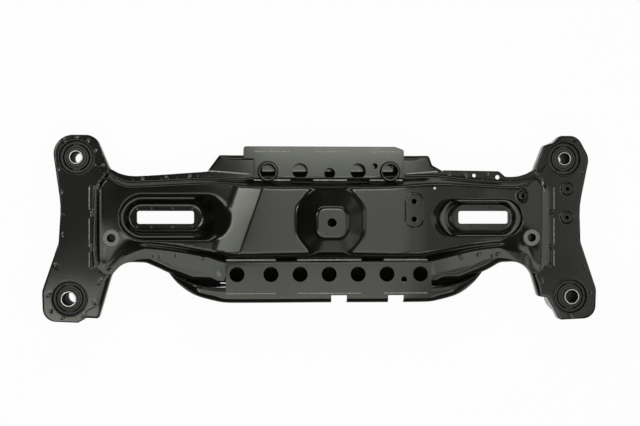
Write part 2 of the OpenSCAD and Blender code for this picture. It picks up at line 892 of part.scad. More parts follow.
module mount_tube(at, z0) {
    color(paint)
        translate([at[0], at[1], z0])
            difference() {
                cylinder(h = tube_top - z0, d = tube_d);
                translate([0, 0, -cut])
                    cylinder(h = tube_top - z0 + 2 * cut, d = can_d);
            }
}

module bush_can(at, z0) {
    h = tube_top - z0 + 2 * can_over;
    color(bare_steel)
        translate([at[0], at[1], z0 - can_over])
            difference() {
                cylinder(h = h, d = can_d);
                translate([0, 0, -cut])
                    cylinder(h = h + 2 * cut, d = can_d - 2 * can_t);
            }
}

// Rubber ring between the can and the sleeve, with a groove between its inner collar and its outer ring
// and two curved pockets in each end
groove_depth = 5;
pocket_depth = 16;
pocket_w = 4;
groove_floor = 5;
pocket_turn = 124;
module bush_rubber(at, z0, sleeve_d) {
    ro = can_d / 2 - can_t;
    ri = sleeve_d / 2;
    mid = ri + (ro - ri) * 0.6;
    low = z0 + 1;
    high = tube_top - 1;
    color(rubber)
        translate([at[0], at[1], 0])
            difference() {
                rotate_extrude()
                    polygon([
                        [ri, low], [ri + 3, low], [mid - groove_floor, low + groove_depth],
                        [mid, low + groove_depth], [mid + 4, low + 1], [ro - 2, low], [ro, low + 3],
                        [ro, high - 3], [ro - 2, high], [mid + 4, high - 1], [mid, high - groove_depth],
                        [mid - groove_floor, high - groove_depth], [ri + 3, high], [ri, high]
                    ]);
                for (end = [low - cut, high - pocket_depth])
                    for (turn = [0, 180])
                        translate([0, 0, end])
                            rotate([0, 0, turn - pocket_turn / 2])
                                rotate_extrude(angle = pocket_turn)
                                    translate([mid - (groove_floor + pocket_w) / 2, 0])
                                        square([pocket_w, pocket_depth + cut]);
            }
}

sleeve_chamfer = 0.8;
module sleeve(at, z0, len, d, bore) {
    c = sleeve_chamfer;
    color(bare_steel)
        translate([at[0], at[1], z0])
            rotate_extrude()
                polygon([
                    [bore / 2, 0], [d / 2 - c, 0], [d / 2, c],
                    [d / 2, len - c], [d / 2 - c, len], [bore / 2, len]
                ]);
}

module rear_left_mount_tube() {
    mount_tube(mounts[0], rear_tube_z);
}
module rear_right_mount_tube() {
    mount_tube(mounts[1], rear_tube_z);
}
module front_left_mount_tube() {
    mount_tube(mounts[2], front_tube_z);
}
module front_right_mount_tube() {
    mount_tube(mounts[3], front_tube_z);
}
module rear_left_bush_can() {
    bush_can(mounts[0], rear_tube_z);
}
module rear_right_bush_can() {
    bush_can(mounts[1], rear_tube_z);
}
module front_left_bush_can() {
    bush_can(mounts[2], front_tube_z);
}
module front_right_bush_can() {
    bush_can(mounts[3], front_tube_z);
}
module rear_left_bush_rubber() {
    bush_rubber(mounts[0], rear_tube_z, rear_sleeve_d);
}
module rear_right_bush_rubber() {
    bush_rubber(mounts[1], rear_tube_z, rear_sleeve_d);
}
module front_left_bush_rubber() {
    bush_rubber(mounts[2], front_tube_z, front_sleeve_d);
}
module front_right_bush_rubber() {
    bush_rubber(mounts[3], front_tube_z, front_sleeve_d);
}
module rear_left_sleeve() {
    sleeve(mounts[0], rear_sleeve_z, rear_sleeve_len, rear_sleeve_d, rear_bore_d);
}
module rear_right_sleeve() {
    sleeve(mounts[1], rear_sleeve_z, rear_sleeve_len, rear_sleeve_d, rear_bore_d);
}
module front_left_sleeve() {
    sleeve(mounts[2], front_sleeve_z, front_sleeve_len, front_sleeve_d, front_bore_d);
}
module front_right_sleeve() {
    sleeve(mounts[3], front_sleeve_z, front_sleeve_len, front_sleeve_d, front_bore_d);
}

upper_shell();
lower_shell();
left_end_plate();
right_end_plate();
front_rail();
back_rail();
front_bridge_plate();
back_bridge_plate();
left_bridge_tube();
right_bridge_tube();
left_spacer();
right_spacer();
rear_left_mount_tube();
rear_right_mount_tube();
front_left_mount_tube();
front_right_mount_tube();
rear_left_bush_can();
rear_right_bush_can();
front_left_bush_can();
front_right_bush_can();
rear_left_bush_rubber();
rear_right_bush_rubber();
front_left_bush_rubber();
front_right_bush_rubber();
rear_left_sleeve();
rear_right_sleeve();
front_left_sleeve();
front_right_sleeve();
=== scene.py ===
"""Looks of a welded steel subframe: smooth pressings, rubber bushes, weld beads and satin black paint.

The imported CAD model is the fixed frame. Sizes are in millimetres until a mesh is made, which is in metres.
"""
import json
import logging
import math
from contextlib import contextmanager
from dataclasses import dataclass, field
from enum import Enum
from typing import Callable, Iterator, Sequence

import bmesh
import bpy
import numpy as np
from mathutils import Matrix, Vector, geometry, kdtree

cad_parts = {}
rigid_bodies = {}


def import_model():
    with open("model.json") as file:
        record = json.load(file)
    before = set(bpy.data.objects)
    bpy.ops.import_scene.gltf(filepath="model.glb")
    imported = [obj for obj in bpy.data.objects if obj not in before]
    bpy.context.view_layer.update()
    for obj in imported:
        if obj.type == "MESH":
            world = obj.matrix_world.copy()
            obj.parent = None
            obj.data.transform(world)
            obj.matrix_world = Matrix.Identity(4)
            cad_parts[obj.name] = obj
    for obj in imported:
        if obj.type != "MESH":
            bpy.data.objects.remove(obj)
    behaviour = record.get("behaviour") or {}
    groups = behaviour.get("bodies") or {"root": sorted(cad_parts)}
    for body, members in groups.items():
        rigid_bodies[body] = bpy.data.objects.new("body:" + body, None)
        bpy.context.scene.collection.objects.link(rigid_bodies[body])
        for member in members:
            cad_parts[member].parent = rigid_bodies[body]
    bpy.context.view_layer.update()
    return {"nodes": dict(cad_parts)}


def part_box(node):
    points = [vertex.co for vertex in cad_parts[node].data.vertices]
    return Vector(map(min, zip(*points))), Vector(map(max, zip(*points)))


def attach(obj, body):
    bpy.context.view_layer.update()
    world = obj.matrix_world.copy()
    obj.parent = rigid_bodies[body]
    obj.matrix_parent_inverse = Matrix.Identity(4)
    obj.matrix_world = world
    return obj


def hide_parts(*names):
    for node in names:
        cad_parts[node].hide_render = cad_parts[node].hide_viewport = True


LOG = logging.getLogger("subframe")
MM = 0.001
BODY = "root"
# Middles along X of the shells, the front rail and the bridge plates.
SHELL_MID, BELLY_MID, BRIDGE_MID = 2.0, 7.0, 9.0
# Half the length of the upper shell between its seams.
SHELL_HALF = 408.0
# Inner edge of the front rail, from its middle outwards.
RAIL_INNER = ((0, -106), (197, -106), (222, -103), (243, -97), (263, -89), (287, -80), (307, -70))
# Section of a rolled edge, as shares of its width from the outside and of its drop.
ROLL = ((1.0, 0.0), (0.75, 0.06), (0.5, 0.19), (0.25, 0.36), (0.08, 0.52), (0.0, 0.75))
# The four mounts.
PLACES = ("rear_left", "rear_right", "front_left", "front_right")
# The four corners of a rectangle, as signs.
CORNERS = ((1, -1), (1, 1), (-1, 1), (-1, -1))

Points = np.ndarray
Spot = tuple[float, float]
Spots = tuple[Spot, ...]
Corner = tuple[float, float, float]
Box = tuple[float, float, float, float]
Run = list[Corner]
Height = Callable[[Points], np.ndarray]


class Slot(Enum):
    """The record's material slots."""

    PAINT = "black_paint"
    CAN = "bush_can"
    RUBBER = "bush_rubber"
    SLEEVE = "sleeve_steel"


class End(Enum):
    """The two ends of the part along X, with the sign of each."""

    LEFT = -1
    RIGHT = 1


def ease(a: np.ndarray | float, b: np.ndarray | float, x: np.ndarray) -> np.ndarray:
    """Smooth step from 0 at a to 1 at b."""
    u = np.clip((x - a) / (b - a), 0.0, 1.0)
    return u * u * (3 - 2 * u)


def soft_ramp(u: np.ndarray, w: np.ndarray | float, v: np.ndarray | float | None = None) -> np.ndarray:
    """Straight ramp from 0 at u = 0 to 1 at u = 1.

    Args:
        u: place along the ramp.
        w: half width over which its first bend is rounded.
        v: the same for its second bend, if that differs.

    Returns:
        The ramp's height at each place.
    """
    v = w if v is None else v
    low = (u + w) ** 2 / (4 * w)
    high = 1 - (1 + v - u) ** 2 / (4 * v)
    rise = np.where(u < w, low, np.where(u < 1 - v, u, high))
    return np.where(u <= -w, 0.0, np.where(u >= 1 + v, 1.0, rise))


def curve(points: Sequence[tuple[float, float]], u: np.ndarray) -> np.ndarray:
    """Smooth curve through points, level at its first one.

    Args:
        points: places along the part and across it.
        u: places along the part.

    Returns:
        The place across the part at each u.
    """
    x, y = np.array(points, float).T
    slope = np.zeros(len(x))
    slope[1:-1] = (y[2:] - y[:-2]) / (x[2:] - x[:-2])
    slope[-1] = (y[-1] - y[-2]) / (x[-1] - x[-2])
    k = np.clip(np.searchsorted(x, u, side="right") - 1, 0, len(x) - 2)
    w = x[k + 1] - x[k]
    s = np.clip((u - x[k]) / w, 0, 1)
    t = 1 - s
    ends = y[k] * t * t * (1 + 2 * s) + y[k + 1] * s * s * (3 - 2 * s)
    return ends + w * s * t * (slope[k] * t - slope[k + 1] * s)


def rounded(corners: Sequence[Corner], turn_step: float = 8.0) -> Points:
    """Closed outline through corners given as x, y and radius.

    Args:
        corners: the corners in order.
        turn_step: largest turn in degrees between two points of an arc.

    Returns:
        The outline's points.
    """
    p = np.array([c[:2] for c in corners], float)
    out: list[np.ndarray] = []
    for i, (x, y, r) in enumerate(corners):
        q = np.array((x, y))
        if r == 0:
            out.append(q)
            continue
        u, v = p[i - 1] - q, p[(i + 1) % len(p)] - q
        u, v = u / np.linalg.norm(u), v / np.linalg.norm(v)
        half = math.acos(float(np.clip(u @ v, -1, 1))) / 2
        mid = (u + v) / np.linalg.norm(u + v)
        c = q + mid * r / math.sin(half)
        a, b = q + u * r / math.tan(half) - c, q + v * r / math.tan(half) - c
        start = math.atan2(a[1], a[0])
        turn = math.atan2(a[0] * b[1] - a[1] * b[0], a @ b)
        n = max(2, math.ceil(abs(math.degrees(turn)) / turn_step))
        for k in range(n + 1):
            angle = start + turn * k / n
            out.append(c + r * np.array((math.cos(angle), math.sin(angle))))
    return np.array(out)


def circle(x: float, y: float, r: float, n: int = 48) -> Points:
    """Round loop of n points."""
    a = np.arange(n) * 2 * math.pi / n
    return np.stack((x + r * np.cos(a), y + r * np.sin(a)), 1)


def rounded_box(x: float, y: float, half_l: float, half_w: float, r: float) -> Points:
    """Outline of a rectangle with round corners, from its middle, half sizes and radius."""
    return rounded([(x + sx * half_l, y + sy * half_w, r) for sx, sy in CORNERS])


def densify(loop: Points, step: float, least: float = 0.3) -> Points:
    """Splits a closed loop's sides so that none is longer than step, and drops those shorter than least."""
    out = []
    for a, b in zip(loop, np.roll(loop, -1, 0)):
        length = np.linalg.norm(b - a)
        if length < least:
            continue
        n = max(1, math.ceil(length / step))
        out.extend(a + (b - a) * k / n for k in range(n))
    return np.array(out)


def row(x: np.ndarray | float, y: np.ndarray | float) -> Points:
    """Line of points, of which one place may be the same all along."""
    return np.stack(np.broadcast_arrays(x, y), 1)


def signed_area(loop: Points) -> float:
    """Area of a loop, positive if it runs anticlockwise."""
    x, y = loop.T
    return float(np.sum(x * np.roll(y, -1) - np.roll(x, -1) * y) / 2)


def anticlockwise(loop: Points) -> Points:
    """The loop, turned round if it runs clockwise."""
    return loop if signed_area(loop) > 0 else loop[::-1]


def inset(loop: Points, d: np.ndarray | float) -> Points:
    """Moves an anticlockwise loop inwards by d, or by each point's own d, with mitred corners."""
    side = np.roll(loop, -1, 0) - loop
    side /= np.linalg.norm(side, axis=1)[:, None]
    normal = np.stack((-side[:, 1], side[:, 0]), 1)
    before = np.roll(normal, 1, 0)
    mitre = (normal + before) / np.maximum(0.3, 1 + np.sum(normal * before, 1))[:, None]
    return loop + np.reshape(d, (-1, 1)) * mitre


def within(loop: Points, pts: Points) -> np.ndarray:
    """Which of the points lie inside a loop."""
    x, y = pts.T
    hit = np.zeros(len(pts), bool)
    for (ax, ay), (bx, by) in zip(loop, np.roll(loop, -1, 0)):
        cross = (ay > y) != (by > y)
        if cross.any():
            at = ax + (y - ay) * (bx - ax) / (by - ay + 1e-30)
            hit ^= cross & (x < at)
    return hit


def on_sheet(loops: Sequence[Points], pts: Points) -> np.ndarray:
    """Which of the points lie inside the first loop and outside the others, its holes."""
    keep = within(loops[0], pts)
    for hole in loops[1:]:
        keep &= ~within(hole, pts)
    return keep


def edge_distance(line: Points, pts: Points, closed: bool = True) -> np.ndarray:
    """Distance of each point from a line of points.

    Args:
        line: the line's points.
        pts: the points to measure.
        closed: whether the line's last point joins its first.

    Returns:
        One distance for each point.
    """
    best = np.full(len(pts), 1e9)
    ends = np.roll(line, -1, 0) if closed else line[1:]
    for a, b in zip(line, ends):
        d = b - a
        length = d @ d
        if length < 1e-12:
            continue
        t = np.clip((pts - a) @ d / length, 0, 1)
        best = np.minimum(best, np.hypot(*(pts - a - t[:, None] * d).T))
    return best


def srgb(text: str) -> tuple[float, float, float, float]:
    """Linear colour of an sRGB hex value such as #2e2f2c."""
    parts = [int(text[i:i + 2], 16) / 255 for i in (1, 3, 5)]
    linear = [c / 12.92 if c <= 0.04045 else ((c + 0.055) / 1.055) ** 2.4 for c in parts]
    return (*linear, 1.0)


def add_node(tree: bpy.types.NodeTree, kind: str, links: dict | None = None, **settings) -> bpy.types.Node:
    """Adds a node to a tree with its settings and links.

    Args:
        tree: the node tree.
        kind: the node's type name.
        links: input name or index to an output socket, or to a plain value.
        settings: attributes of the node.

    Returns:
        The new node.
    """
    node = tree.nodes.new(kind)
    for name, value in settings.items():
        setattr(node, name, value)
    for name, value in (links or {}).items():
        socket = node.inputs[name]
        if isinstance(value, bpy.types.NodeSocket):
            tree.links.new(value, socket)
        else:
            socket.default_value = value
    return node


@dataclass(frozen=True)
class Finish:
    """A surface finish with a mottled roughness and a fine bump.

    Attributes:
        name: what the real material is.
        colour: its colour as sRGB hex.
        mark: colour of its faint marks as sRGB hex.
        metallic: 1 for bare metal.
        roughness: middle of its roughness.
        mottle: how far the roughness swings.
        mottle_mm: size of the mottling.
        peel_mm: size of the fine bump.
        peel_height_mm: height of the fine bump.
        marks: share of the marks' colour, from 0 to 1.
        marks_mm: size of the marks.
        stretch: how the pattern is drawn out along each axis.
        gloss: level of its reflection, 0.5 for plain paint.
        tint: colour of its reflection as sRGB hex.
    """

    name: str
    colour: str
    mark: str
    metallic: float
    roughness: float
    mottle: float
    mottle_mm: float
    peel_mm: float
    peel_height_mm: float
    marks: float
    marks_mm: float
    stretch: tuple[float, float, float] = (1.0, 1.0, 1.0)
    gloss: float = 0.5
    tint: str = "#ffffff"

    def make(self) -> bpy.types.Material:
        """Builds the material's nodes.

        Returns:
            The material.
        """
        material = bpy.data.materials.new(self.name)
        material.use_nodes = True
        tree = material.node_tree
        tree.nodes.clear()
        place = add_node(tree, "ShaderNodeTexCoord").outputs["Object"]
        place = add_node(
            tree, "ShaderNodeMapping", {"Vector": place, "Scale": self.stretch}
        ).outputs["Vector"]
        cloud = add_node(
            tree, "ShaderNodeTexNoise", {"Vector": place, "Scale": 1 / (self.mottle_mm * MM), "Detail": 4.0}
        ).outputs["Fac"]
        rough = add_node(
            tree, "ShaderNodeMapRange",
            {"Value": cloud, "From Min": 0.3, "From Max": 0.7,
             "To Min": self.roughness - self.mottle, "To Max": self.roughness + self.mottle},
        ).outputs["Result"]
        speck = add_node(
            tree, "ShaderNodeTexNoise",
            {"Vector": place, "Scale": 1 / (self.marks_mm * MM), "Detail": 6.0, "Roughness": 0.65},
        ).outputs["Fac"]
        share = add_node(
            tree, "ShaderNodeMapRange",
            {"Value": speck, "From Min": 0.52, "From Max": 0.78, "To Min": 0.0, "To Max": self.marks},
        ).outputs["Result"]
        colour = add_node(
            tree, "ShaderNodeMix", {"Factor": share, "A": srgb(self.colour), "B": srgb(self.mark)},
            data_type="RGBA",
        ).outputs["Result"]
        peel = add_node(
            tree, "ShaderNodeTexNoise", {"Vector": place, "Scale": 1 / (self.peel_mm * MM), "Detail": 2.0}
        ).outputs["Fac"]
        bump = add_node(
            tree, "ShaderNodeBump", {"Height": peel, "Strength": 1.0, "Distance": self.peel_height_mm * MM}
        ).outputs["Normal"]
        shader = add_node(
            tree, "ShaderNodeBsdfPrincipled",
            {"Base Color": colour, "Roughness": rough, "Normal": bump, "Metallic": self.metallic,
             "Specular IOR Level": self.gloss, "Specular Tint": srgb(self.tint)},
        )
        add_node(tree, "ShaderNodeOutputMaterial", {"Surface": shader.outputs["BSDF"]})
        return material


class Finishes(Enum):
    """The finishes of the part."""

    # Dipped satin black paint on pressed steel: soft reflections, faint orange peel and a dusty bloom.
    PAINT = Finish("satin black paint on steel", "#0a0b07", "#1f201a", 0.0, 0.16, 0.03, 70, 3.5, 0.006, 0.3,
                   26, tint="#fbfff2")
    # Pale grey paint with paler speckles on the weld beads, as painted highlights for the light that their
    # black paint catches.
    BEAD = Finish("weld bead painted pale as highlight", "#95958d", "#d4d3c9", 0.0, 0.25, 0.08, 6, 1.4, 0.03, 0.8, 5)
    # Moulded natural rubber: matt, dark and a little dusty.
    RUBBER = Finish("moulded rubber", "#2b2b29", "#4a4a46", 0.0, 0.58, 0.06, 12, 0.8, 0.03, 0.45, 7)
    # Near black paint in the bores of the bolt sleeves and spacers, as painted shade for the dark inside of
    # the bores.
    PAINTED_SHADE_BORE = Finish("bore painted dark as shade", "#0c0c0b", "#1d1c18", 0.0, 0.7, 0.08, 9, 0.9, 0.02, 0.5, 8,
                  (1, 1, 3), 0.08)
    # Dull thin paint on the spacers' flat ends, paler than the pressings round them, and made paler still as
    # painted light, since little lamp light reaches them.
    SPACER = Finish("dull thin grey paint on steel", "#6d6e69", "#8d8e88", 0.0, 0.5, 0.08, 10, 1.6,
                    0.02, 0.6, 8)
    # Dulled drawn steel tube of the bush cans.
    CAN = Finish("dulled drawn steel", "#4b4b48", "#2c2b29", 1.0, 0.42, 0.08, 9, 0.8, 0.02, 0.6, 10,
                 (1, 1, 4))
    # Turned bare steel of the bolt sleeves: pale, with fine turning marks round it.
    SLEEVE = Finish("turned bare steel", "#b5b5ae", "#7d7a72", 1.0, 0.36, 0.08, 8, 0.6, 0.015, 0.6, 9,
                    (1, 1, 6))


class Shop:
    """Makes each finish once."""

    def __init__(self) -> None:
        """Starts with no finish made."""
        self.made: dict[Finishes, bpy.types.Material] = {}

    def get(self, finish: Finishes) -> bpy.types.Material:
        """The material of a finish."""
        if finish not in self.made:
            self.made[finish] = finish.value.make()
        return self.made[finish]


def new_object(name: str, verts: Sequence, faces: Sequence, edges: Sequence = ()) -> bpy.types.Object:
    """Makes a mesh object.

    Args:
        name: the object's name.
        verts: points in millimetres.
        faces: the faces' point numbers.
        edges: the loose edges' point numbers.

    Returns:
        The object, linked to the scene.
    """
    mesh = bpy.data.meshes.new(name)
    mesh.from_pydata([tuple(float(c) * MM for c in v) for v in verts], list(edges), [tuple(f) for f in faces])
    obj = bpy.data.objects.new(name, mesh)
    bpy.context.scene.collection.objects.link(obj)
    return obj


def bake(obj: bpy.types.Object) -> None:
    """Turns an object and its modifiers into a plain mesh."""
    graph = bpy.context.evaluated_depsgraph_get()
    mesh = bpy.data.meshes.new_from_object(obj.evaluated_get(graph), depsgraph=graph)
    old = obj.data
    obj.modifiers.clear()
    obj.data = mesh
    bpy.data.meshes.remove(old)
    mesh.name = obj.name


def smooth(obj: bpy.types.Object, crease_deg: float = 40.0) -> None:
    """Shades an object smooth, with its folds above an angle kept sharp."""
    obj.data.shade_smooth()
    obj.data.set_sharp_from_angle(angle=math.radians(crease_deg))


@contextmanager
def mesh_edit(obj: bpy.types.Object) -> Iterator[bmesh.types.BMesh]:
    """Opens an object's mesh for changes and writes them back."""
    work = bmesh.new()
    work.from_mesh(obj.data)
    yield work
    work.to_mesh(obj.data)
    work.free()


def merge(obj: bpy.types.Object, recalc: bool = False, gap: float = 0.004) -> None:
    """Merges the points of an object that lie on each other and drops loose ones.

    Args:
        obj: the object.
        recalc: whether its faces are turned to point outwards.
        gap: how near to each other points are merged.
    """
    with mesh_edit(obj) as work:
        bmesh.ops.remove_doubles(work, verts=work.verts, dist=gap * MM)
        bmesh.ops.delete(work, geom=[v for v in work.verts if not v.link_edges], context="VERTS")
        if recalc:
            bmesh.ops.recalc_face_normals(work, faces=work.faces)


def break_edges(obj: bpy.types.Object, width: float, segments: int, above_deg: float) -> None:
    """Rounds the edges of an object that are sharper than an angle.

    Args:
        obj: the object.
        width: width of the rounding.
        segments: faces across it.
        above_deg: the angle in degrees.
    """
    edge = obj.modifiers.new("edge", "BEVEL")
    edge.width, edge.segments, edge.limit_method = width * MM, segments, "ANGLE"
    edge.angle_limit = math.radians(above_deg)


def form_sheet(obj: bpy.types.Object, gauge: float) -> None:
    """Gives a pressed face the sheet's thickness and broken edges."""
    wall = obj.modifiers.new("gauge", "SOLIDIFY")
    wall.thickness, wall.offset = gauge * MM, -1.0
    break_edges(obj, 0.45, 2, 65)
    bake(obj)
    smooth(obj)


def dress(obj: bpy.types.Object, material: bpy.types.Material, slot: Slot, *nodes: str) -> None:
    """Gives a piece its finish and ties it to the frame.

    Args:
        obj: the piece.
        material: its finish.
        slot: the record's slot; not used.
        nodes: the CAD nodes that it stands for.
    """
    obj.data.materials.clear()
    obj.data.materials.append(material)
    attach(obj, BODY)
    if nodes:
        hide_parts(*nodes)
    LOG.info("%s: %d faces", obj.name, len(obj.data.polygons))


@dataclass
class Pressing:
    """A pressed sheet: an outline with holes that a height function raises.

    Attributes:
        name: the piece's name.
        outline: the sheet's outer loop.
        holes: loops cut out of it.
        height: height of the sheet's upper face.
        gauge: the sheet's thickness.
        guides: sets of points that follow bends, in order of importance.
        step: spacing of the other points.
        skirt: height of the edge that is turned down, 0 for none.
        bend: radius of the bend into the skirt at each point of the edge.
        dents: places of short spot-weld dents.
        ridges: lines of sharp creases that stand up a little.
        dent_size: half length and half width of a dent.
        dent_depth: depth of a dent.
        ridge_w: half width of a crease.
        ridge_h: height of a crease.
        collar: width of the flat band of faces along each edge.
        fine_gap: least spacing of the points at edges and marks, as a share of step.
        gap: the same for the other points.
        sliver: twice the area of the thin faces that are dropped at the rim.
        rim_gap: how near to the rim they are dropped.
    """

    name: str
    outline: Points
    holes: list[Points]
    height: Height
    gauge: float
    guides: list[Points] = field(default_factory=list)
    step: float = 3.4
    skirt: float = 0.0
    bend: Height | None = None
    dents: Spots = ()
    ridges: tuple[Spots, ...] = ()
    dent_size: Spot = (3.4, 1.7)
    dent_depth: float = 0.7
    ridge_w: float = 1.5
    ridge_h: float = 0.8
    collar: float = 1.1
    fine_gap: float = 0.12
    gap: float = 0.19
    sliver: float = 0.02
    rim_gap: float = 0.1

    def _turn(self, i: int) -> np.ndarray:
        """Matrix that turns the long axis of dent i to a direction of its own, between 25 and 135 degrees."""
        a = math.radians(25 + 47 * i % 110)
        return np.array(((math.cos(a), math.sin(a)), (-math.sin(a), math.cos(a))))

    def _marks(self) -> list[Points]:
        """Points that follow the dents, as rings, and the creases, as rows."""
        rings = ((0.05, 3), (0.4, 10), (0.8, 14), (1.2, 16), (1.8, 18))
        rows = (0.0, 0.7, -0.7, 1.4, -1.4, 2.2, -2.2)
        spacing = 2.2
        out = [
            np.array(at) + circle(0, 0, k, n) * self.dent_size @ self._turn(i)
            for i, at in enumerate(self.dents) for k, n in rings
        ]
        for ridge in self.ridges:
            line = np.array(ridge, float)
            for a, b in zip(line, line[1:]):
                length = np.linalg.norm(b - a)
                points = np.linspace(a, b, max(2, round(length / spacing)))
                along = (b - a) / length
                side = np.array((-along[1], along[0])) * self.ridge_w
                out += [points + side * k for k in rows]
        return [np.vstack(out)] if out else []

    def _relief(self, pts: Points) -> np.ndarray:
        """Height that the dents and the creases add."""
        z = np.zeros(len(pts))
        for i, at in enumerate(self.dents):
            away = (pts - np.array(at)) @ self._turn(i).T / self.dent_size
            z -= self.dent_depth * np.exp(-(away ** 2).sum(1))
        for ridge in self.ridges:
            away = edge_distance(np.array(ridge, float), pts, False) / self.ridge_w
            z += self.ridge_h * np.exp(-(away ** 2))
        return z

    def _thin(self, kept: Points, more: Points, gap: float) -> Points:
        """Adds to kept those of more that are further than gap from all of them."""
        tree = kdtree.KDTree(len(kept))
        for i, p in enumerate(kept):
            tree.insert((p[0], p[1], 0.0), i)
        tree.balance()
        far = [p for p in more if tree.find((p[0], p[1], 0.0))[2] > gap]
        return np.vstack((kept, far)) if far else kept

    def _lattice(self, loop: Points) -> Points:
        """Points of a triangular lattice over a loop's box."""
        (x0, y0), (x1, y1) = loop.min(0), loop.max(0)
        rows = np.arange(y0, y1, self.step * 0.866)
        return np.array([
            (x + (i % 2) * self.step / 2, y) for i, y in enumerate(rows) for x in np.arange(x0, x1, self.step)
        ])

    def _points(self, loops: list[Points]) -> Points:
        """All points of the flat sheet, with those of its loops first."""
        rim, *holes = loops
        pts = np.vstack(loops)
        round_holes = [inset(anticlockwise(h), -self.collar) for h in holes]
        collars = np.vstack([inset(rim, self.collar), *round_holes])
        for k, more in enumerate([collars, *self._marks(), *self.guides, self._lattice(rim)]):
            gap = self.step * (self.gap if k > 1 else self.fine_gap)
            pts = self._thin(pts, more[on_sheet(loops, more)], gap)
        return pts

    def _faces(self, loops: list[Points], pts: Points) -> tuple[Points, np.ndarray]:
        """Joins the points by triangles.

        Args:
            loops: the rim and the holes, which the triangles keep to.
            pts: all points, with those of the loops first.

        Returns:
            The flat mesh's points and the point numbers of its triangles.
        """
        edges, first = [], 0
        for loop in loops:
            edges += [(first + i, first + (i + 1) % len(loop)) for i in range(len(loop))]
            first += len(loop)
        flat, _, tris, *_ = geometry.delaunay_2d_cdt([Vector(p) for p in pts], edges, [], 0, 1e-5)
        flat, tris = np.array([tuple(v) for v in flat]), np.array(tris)
        mid = flat[tris].mean(1)
        keep = on_sheet(loops, mid)
        a, b = flat[tris[:, 1]] - flat[tris[:, 0]], flat[tris[:, 2]] - flat[tris[:, 0]]
        thin = np.flatnonzero(np.abs(a[:, 0] * b[:, 1] - a[:, 1] * b[:, 0]) < self.sliver)
        keep[thin] &= edge_distance(loops[0], mid[thin]) > self.rim_gap
        return flat, tris[keep]

    def build(self) -> bpy.types.Object:
        """Makes the sheet with its thickness and rounded edges.

        Returns:
            The finished object.
        """
        border = anticlockwise(densify(self.outline, self.step))
        bend = self.bend(border) if self.bend else np.zeros(len(border))
        loops = [inset(border, bend), *(densify(h, self.step) for h in self.holes)]
        flat, tris = self._faces(loops, self._points(loops))
        verts = list(np.column_stack((flat, self.height(flat) + self._relief(flat))))
        faces = [tuple(t) for t in tris]
        if self.skirt:
            self._add_skirt(border, bend, verts, faces)
        obj = new_object(self.name, verts, faces)
        merge(obj)
        form_sheet(obj, self.gauge)
        return obj

    def _add_skirt(self, border: Points, bend: np.ndarray, verts: list, faces: list) -> None:
        """Adds the turned-down rings round the sheet.

        Args:
            border: the sheet's outer loop.
            bend: radius of the bend at each of its points.
            verts: the mesh's points so far, which grow.
            faces: the mesh's faces so far, which grow.
        """
        n, first = len(border), len(verts)
        top = self.height(inset(border, bend))
        rings = [(inset(border, bend * a), top - bend * b) for a, b in ROLL]
        rings.append((border, np.full(n, top.max() - self.skirt)))
        for loop, z in rings:
            verts += list(np.column_stack((loop, z)))
        for k in range(len(rings) - 1):
            a, b = first + k * n, first + (k + 1) * n
            faces += [(a + i, b + i, b + (i + 1) % n, a + (i + 1) % n) for i in range(n)]


@dataclass(frozen=True)
class Recess:
    """A deep pressed recess with round ends, from its rim to its floor.

    Attributes:
        rim: its ends along X and half its width at the rim.
        floor: the same at the floor.
        y: its centre line.
        soft: share of the wall over which the rim is rounded.
    """

    rim: tuple[float, float, float]
    floor: tuple[float, float, float]
    y: float
    soft: float

    def _size(self, s: np.ndarray | float) -> list:
        """Ends along X and half width at a share s of the way from the rim to the floor."""
        return [a + s * (b - a) for a, b in zip(self.rim, self.floor)]

    def ring(self, s: float, step: float = 2.6) -> Points:
        """Loop at a share s of the way from the rim to the floor."""
        x0, x1, r = self._size(s)
        n = max(8, round(math.pi * r / step))
        a = np.linspace(-math.pi / 2, math.pi / 2, n)
        right = np.stack((x1 - r + r * np.cos(a), self.y + r * np.sin(a)), 1)
        left = np.stack((x0 + r - r * np.cos(a), self.y - r * np.sin(a)), 1)
        return densify(np.vstack((right, left)), step)

    def share(self, pts: Points) -> np.ndarray:
        """How far each point is from the rim, at 0, to the floor, at 1 and beyond, found by halving."""
        low, high = np.full(len(pts), -0.6), np.full(len(pts), 1.5)
        for _ in range(28):
            s = (low + high) / 2
            x0, x1, r = self._size(s)
            near = np.clip(pts[:, 0], x0 + r, np.maximum(x1 - r, x0 + r))
            out = np.hypot(pts[:, 0] - near, pts[:, 1] - self.y) > r
            high, low = np.where(out, s, high), np.where(out, low, s)
        return (low + high) / 2


